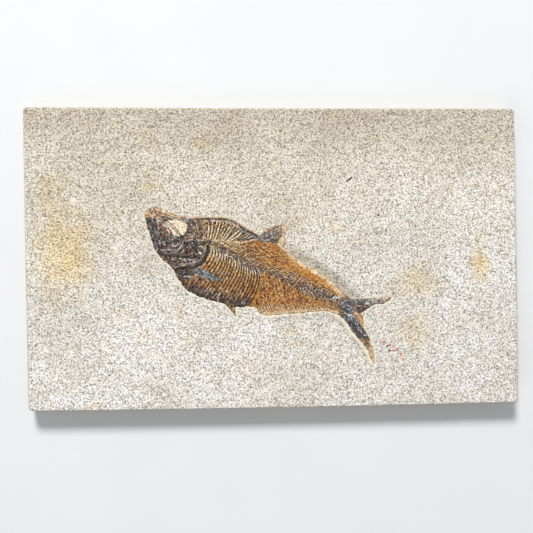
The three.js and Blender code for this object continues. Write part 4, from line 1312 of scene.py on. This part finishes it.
def limestone():
    """Granular stone, multiplied by one wash after another, the last of them painted shade, and layered where
    it was sawn.
    """
    nodes = Nodes("limestone")
    stain, painted_shade, rim, cool = nodes.channels("marks")
    sawn = nodes.add("ShaderNodeAttribute", attribute_name="sawn").outputs["Fac"]
    grain = nodes.noise(0.8, 1.5, 0.6, distortion=0.5)
    coarse = nodes.noise(3.4, 2, 0.5)
    speckle = nodes.math("MULTIPLY_ADD", nodes.math("SUBTRACT", coarse, 0.5), 0.15, grain)
    colour = nodes.ramp(speckle, [
        (0.30, tone(134, 129, 121)), (0.42, tone(191, 186, 178)), (0.5, tone(226, 221, 213)),
        (0.57, tone(251, 248, 243)), (0.66, tone(255, 255, 254)),
    ])
    warm = nodes.between(nodes.noise(2.2, 2, 0.6, distortion=0.3), 0.5, 0.72, 0, 0.6)
    cloudy = nodes.between(nodes.noise(24, 2, 0.5), 0.35, 0.7, 0, 0.35)
    freckled = nodes.between(nodes.noise(6.5, 2.5, 0.6), 0.6, 0.74, 0, 0.4)
    rusty = nodes.between(nodes.noise(1.9, 1, 0.5), 0.7, 0.78, 0, 0.6)
    washes = [
        (warm, tone(251, 241, 226)),
        (cloudy, tone(206, 198, 182)),
        (nodes.math("MULTIPLY", stain, 0.62), tone(254, 224, 144)),
        (nodes.math("SUBTRACT", 1.0, cool), tone(250, 246, 238)),
        (freckled, tone(244, 222, 176)),
        (rusty, tone(206, 166, 134)),
        # painted shade: a grey wash where the painted-shade share lies, beside the fish and towards the back
        # edge
        (nodes.math("MULTIPLY", painted_shade, 0.75), tone(196, 188, 174)),
    ]
    for share, wash in washes:
        colour = nodes.mix(share, colour, wash, "MULTIPLY")
    bare = nodes.mix(grain, tone(236, 215, 176), tone(255, 251, 236))
    colour = nodes.mix(nodes.math("MULTIPLY", rim, 0.8), colour, bare)
    colour = nodes.mix(sawn, colour, sawn_stone(nodes, grain))
    height = nodes.math("ADD", grain, nodes.math("MULTIPLY", nodes.noise(0.5, 2, 0.5), 0.35))
    roughness = nodes.between(coarse, 0.3, 0.7, 0.82, 0.96)
    return nodes.surface(colour, roughness, height, 0.34, **{"Specular IOR Level": STONE_SHINE})


def sawn_stone(nodes, grain):
    """The colour of the sawn sides: level layers, a little lighter or darker than each other."""
    layers = nodes.noise(6, 3, 0.6, nodes.stretched((0.03, 0.03, 7)))
    cut = nodes.ramp(layers, [
        (0.3, tone(190, 181, 164)), (0.45, tone(211, 203, 188)), (0.55, tone(222, 215, 201)),
        (0.7, tone(233, 227, 214)),
    ])
    return nodes.mix(nodes.between(grain, 0.35, 0.65, 0.8, 0.0), cut, tone(178, 170, 155), "MULTIPLY")


FOSSIL_COLOURS = {  # dark and light of each tint
    "cream": ((200, 172, 134), (255, 250, 230)),
    "gold": ((154, 100, 42), (255, 214, 146)),
    "amber": ((132, 80, 26), (218, 152, 72)),
    "umber": ((54, 34, 24), (164, 122, 92)),
    "ash": ((46, 49, 54), (156, 159, 162)),
    "bone": ((8, 7, 8), (84, 76, 73)),
    "rust": ((68, 26, 16), (178, 98, 68)),
    "silver": ((126, 122, 116), (250, 248, 242)),
}
FOSSIL_ROUGHNESS = {
    "cream": 0.85, "gold": 0.62, "amber": 0.52, "umber": 0.5, "ash": 0.45, "bone": 0.38, "rust": 0.5,
    "silver": 0.6,
}


def fossil_bone():
    """Each tint in proportion to its share, from dark to light with the grain."""
    nodes = Nodes("fossil_bone")
    shares = nodes.channels("tints_a") + nodes.channels("tints_b")
    grain = nodes.noise(0.85, 1.5, 0.6, distortion=0.4)
    fibre = nodes.noise(1.4, 2, 0.6, nodes.stretched((1, 3.2, 1), 28))
    blotch = nodes.math("MULTIPLY_ADD", fibre, 0.3, nodes.math("MULTIPLY", grain, 0.7))
    level = nodes.between(blotch, 0.4, 0.6)
    colour = None
    roughness = 0.0
    for name, share in zip(FISH_TINTS, shares):
        dark, light = FOSSIL_COLOURS[name]
        tint = nodes.mix(level, tone(*dark), tone(*light))
        scaled = nodes.add("ShaderNodeVectorMath", {0: tint, "Scale": share}, operation="SCALE").outputs[0]
        if colour is None:
            colour = scaled
        else:
            colour = nodes.add("ShaderNodeVectorMath", {0: colour, 1: scaled}, operation="ADD").outputs[0]
        roughness = nodes.math("MULTIPLY_ADD", share, FOSSIL_ROUGHNESS[name], roughness)
    height = nodes.math("MULTIPLY_ADD", nodes.noise(0.35, 2, 0.5), 0.4, grain)
    return nodes.surface(colour, roughness, height, 0.26, **{"Specular IOR Level": BONE_SHINE})


# ------------------------------------------------------------------ small marks on the face

SPECK_SIDES = 9
SPECK_TALL = 0.22  # a grain's top, above the face
SPECK_SUNK = 0.25  # and its underside, below the face
SPECK_SPREAD = 1.25  # a grain's outline, as a share of its stated radius


def speck(points, faces, middle, radius, turn):
    """A flat grain: a rounded ring and a raised middle, with an underside below the face."""
    first = len(points)
    count = SPECK_SIDES
    for ring_radius, height in ((1.0, -SPECK_SUNK), (0.72, 0.7 * SPECK_TALL)):
        for index in range(count):
            angle = turn + 2 * math.pi * index / count
            reach = radius * ring_radius * (1 + 0.25 * math.sin(3 * angle + turn))
            out, up = reach * math.cos(angle), 0.75 * reach * math.sin(angle)
            points.append((middle[0] + out, middle[1] + up, height))
    points.append((middle[0], middle[1], SPECK_TALL))
    for index in range(count):
        after = (index + 1) % count
        faces.append([first + index, first + after, first + count + after, first + count + index])
        faces.append([first + count + index, first + count + after, first + 2 * count])
    faces.append([first + index for index in range(count)][::-1])


def make_specks(name, spots, material):
    """All the grains of one mineral, as one piece."""
    points, faces = [], []
    for index, (x, y, radius) in enumerate(spots):
        speck(points, faces, (x, y), radius * SPECK_SPREAD, index * 1.7)
    metres = np.array(points) * MM + (0, 0, FACE)
    return new_piece(name, metres, faces, material, len(faces))


RED_SPECKS = [  # x, y and radius
    (55.5, -43.7, 0.75), (58.8, -45.5, 0.6), (60.5, -48.3, 0.6), (62.2, -47.6, 0.7), (64.2, -50.2, 0.6),
    (65.3, -52.7, 0.6), (19.3, 4.6, 0.5), (57.9, -28.9, 0.5), (3, -41.2, 0.5), (52.8, -28.9, 0.4),
    (54.9, -28.6, 0.35), (61.2, -27.7, 0.35),
]
DARK_SPECKS = [
    (57.2, -45.9, 0.6), (58.3, -48.4, 0.65), (39, 40.2, 0.55), (38.2, 39.4, 0.6), (53, 21, 0.6),
    (-84, -58.4, 0.55), (60.5, -19, 0.4), (37.4, 38.6, 0.5),
]


def mineral(name, dark, light):
    """A grain's material, from dark to light."""
    nodes = Nodes(name)
    grain = nodes.noise(0.4, 2, 0.5)
    colour = nodes.mix(nodes.between(grain, 0.35, 0.65), tone(*dark), tone(*light))
    return nodes.surface(colour, 0.7, grain, 0.05, **{"Specular IOR Level": STONE_SHINE})


# ------------------------------------------------------------------ the studio

FLOOR_REACH = 3.0  # in metres
FLOOR_DROP = 0.0001  # the floor, below the slab's back
LIGHTS = [  # name, place and width in metres, and watts
    ("key", (-0.3, 1.35, 1.45), 0.5, 38),
    ("fill", (-0.8, -1.2, 1.4), 1.0, 4),
]
SKY = (0.96, 0.98, 1.0, 1)
SKY_STRENGTH = 0.39
LENS = 60  # in millimetres, with the sensor
SENSOR = 36
CAMERA_PLACE = (-0.0345, 0.001, FACE + 0.4497)
CAMERA_TILT = (-0.68, -3.82, -0.54)  # degrees about each axis, away from straight down


def make_floor():
    """The pale paper the slab lies on."""
    mesh = bpy.data.meshes.new("floor")
    signs = [(-1, -1), (1, -1), (1, 1), (-1, 1)]
    corners = [(x * FLOOR_REACH, y * FLOOR_REACH, -FLOOR_DROP) for x, y in signs]
    mesh.from_pydata(corners, [], [(0, 1, 2, 3)])
    nodes = Nodes("floor_paper")
    colour = nodes.mix(nodes.noise(40, 2, 0.5), tone(226, 227, 228), tone(231, 232, 233))
    mesh.materials.append(nodes.surface(colour, 0.9, nodes.noise(3), 0.01))
    floor = bpy.data.objects.new("floor", mesh)
    bpy.context.scene.collection.objects.link(floor)


def make_light(name, place, size, watts):
    """A round lamp, aimed at the middle of the split face."""
    data = bpy.data.lights.new(name, "AREA")
    data.shape = "DISK"
    data.size = size
    data.energy = watts
    lamp = bpy.data.objects.new(name, data)
    lamp.location = place
    aim = Vector((0, 0, FACE)) - lamp.location
    lamp.rotation_euler = aim.to_track_quat("-Z", "Y").to_euler()
    bpy.context.scene.collection.objects.link(lamp)


def make_studio():
    """The sky light and the lamps."""
    world = bpy.data.worlds.new("studio")
    world.use_nodes = True
    background = world.node_tree.nodes["Background"]
    background.inputs["Color"].default_value = SKY
    background.inputs["Strength"].default_value = SKY_STRENGTH
    bpy.context.scene.world = world
    for light in LIGHTS:
        make_light(*light)
    bpy.context.scene.view_settings.view_transform = "Standard"


def make_camera():
    data = bpy.data.cameras.new("camera")
    data.lens = LENS
    data.sensor_width = SENSOR
    camera = bpy.data.objects.new("camera", data)
    camera.location = CAMERA_PLACE
    camera.rotation_euler = [math.radians(angle) for angle in CAMERA_TILT]
    bpy.context.scene.collection.objects.link(camera)
    bpy.context.scene.camera = camera


# ------------------------------------------------------------------ putting it together

make_camera()
make_studio()
make_floor()

slab = make_slab(limestone())
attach(slab, "root")
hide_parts("matrix_slab")

fish = make_fish(fossil_bone())
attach(fish, "root")
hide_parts("fossil_fish")

red = make_specks("red_specks", RED_SPECKS, mineral("red_mineral", (222, 84, 78), (244, 138, 128)))
dark = make_specks("dark_specks", DARK_SPECKS, mineral("dark_mineral", (30, 28, 27), (84, 78, 72)))
for specks in (red, dark):
    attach(specks, "root")
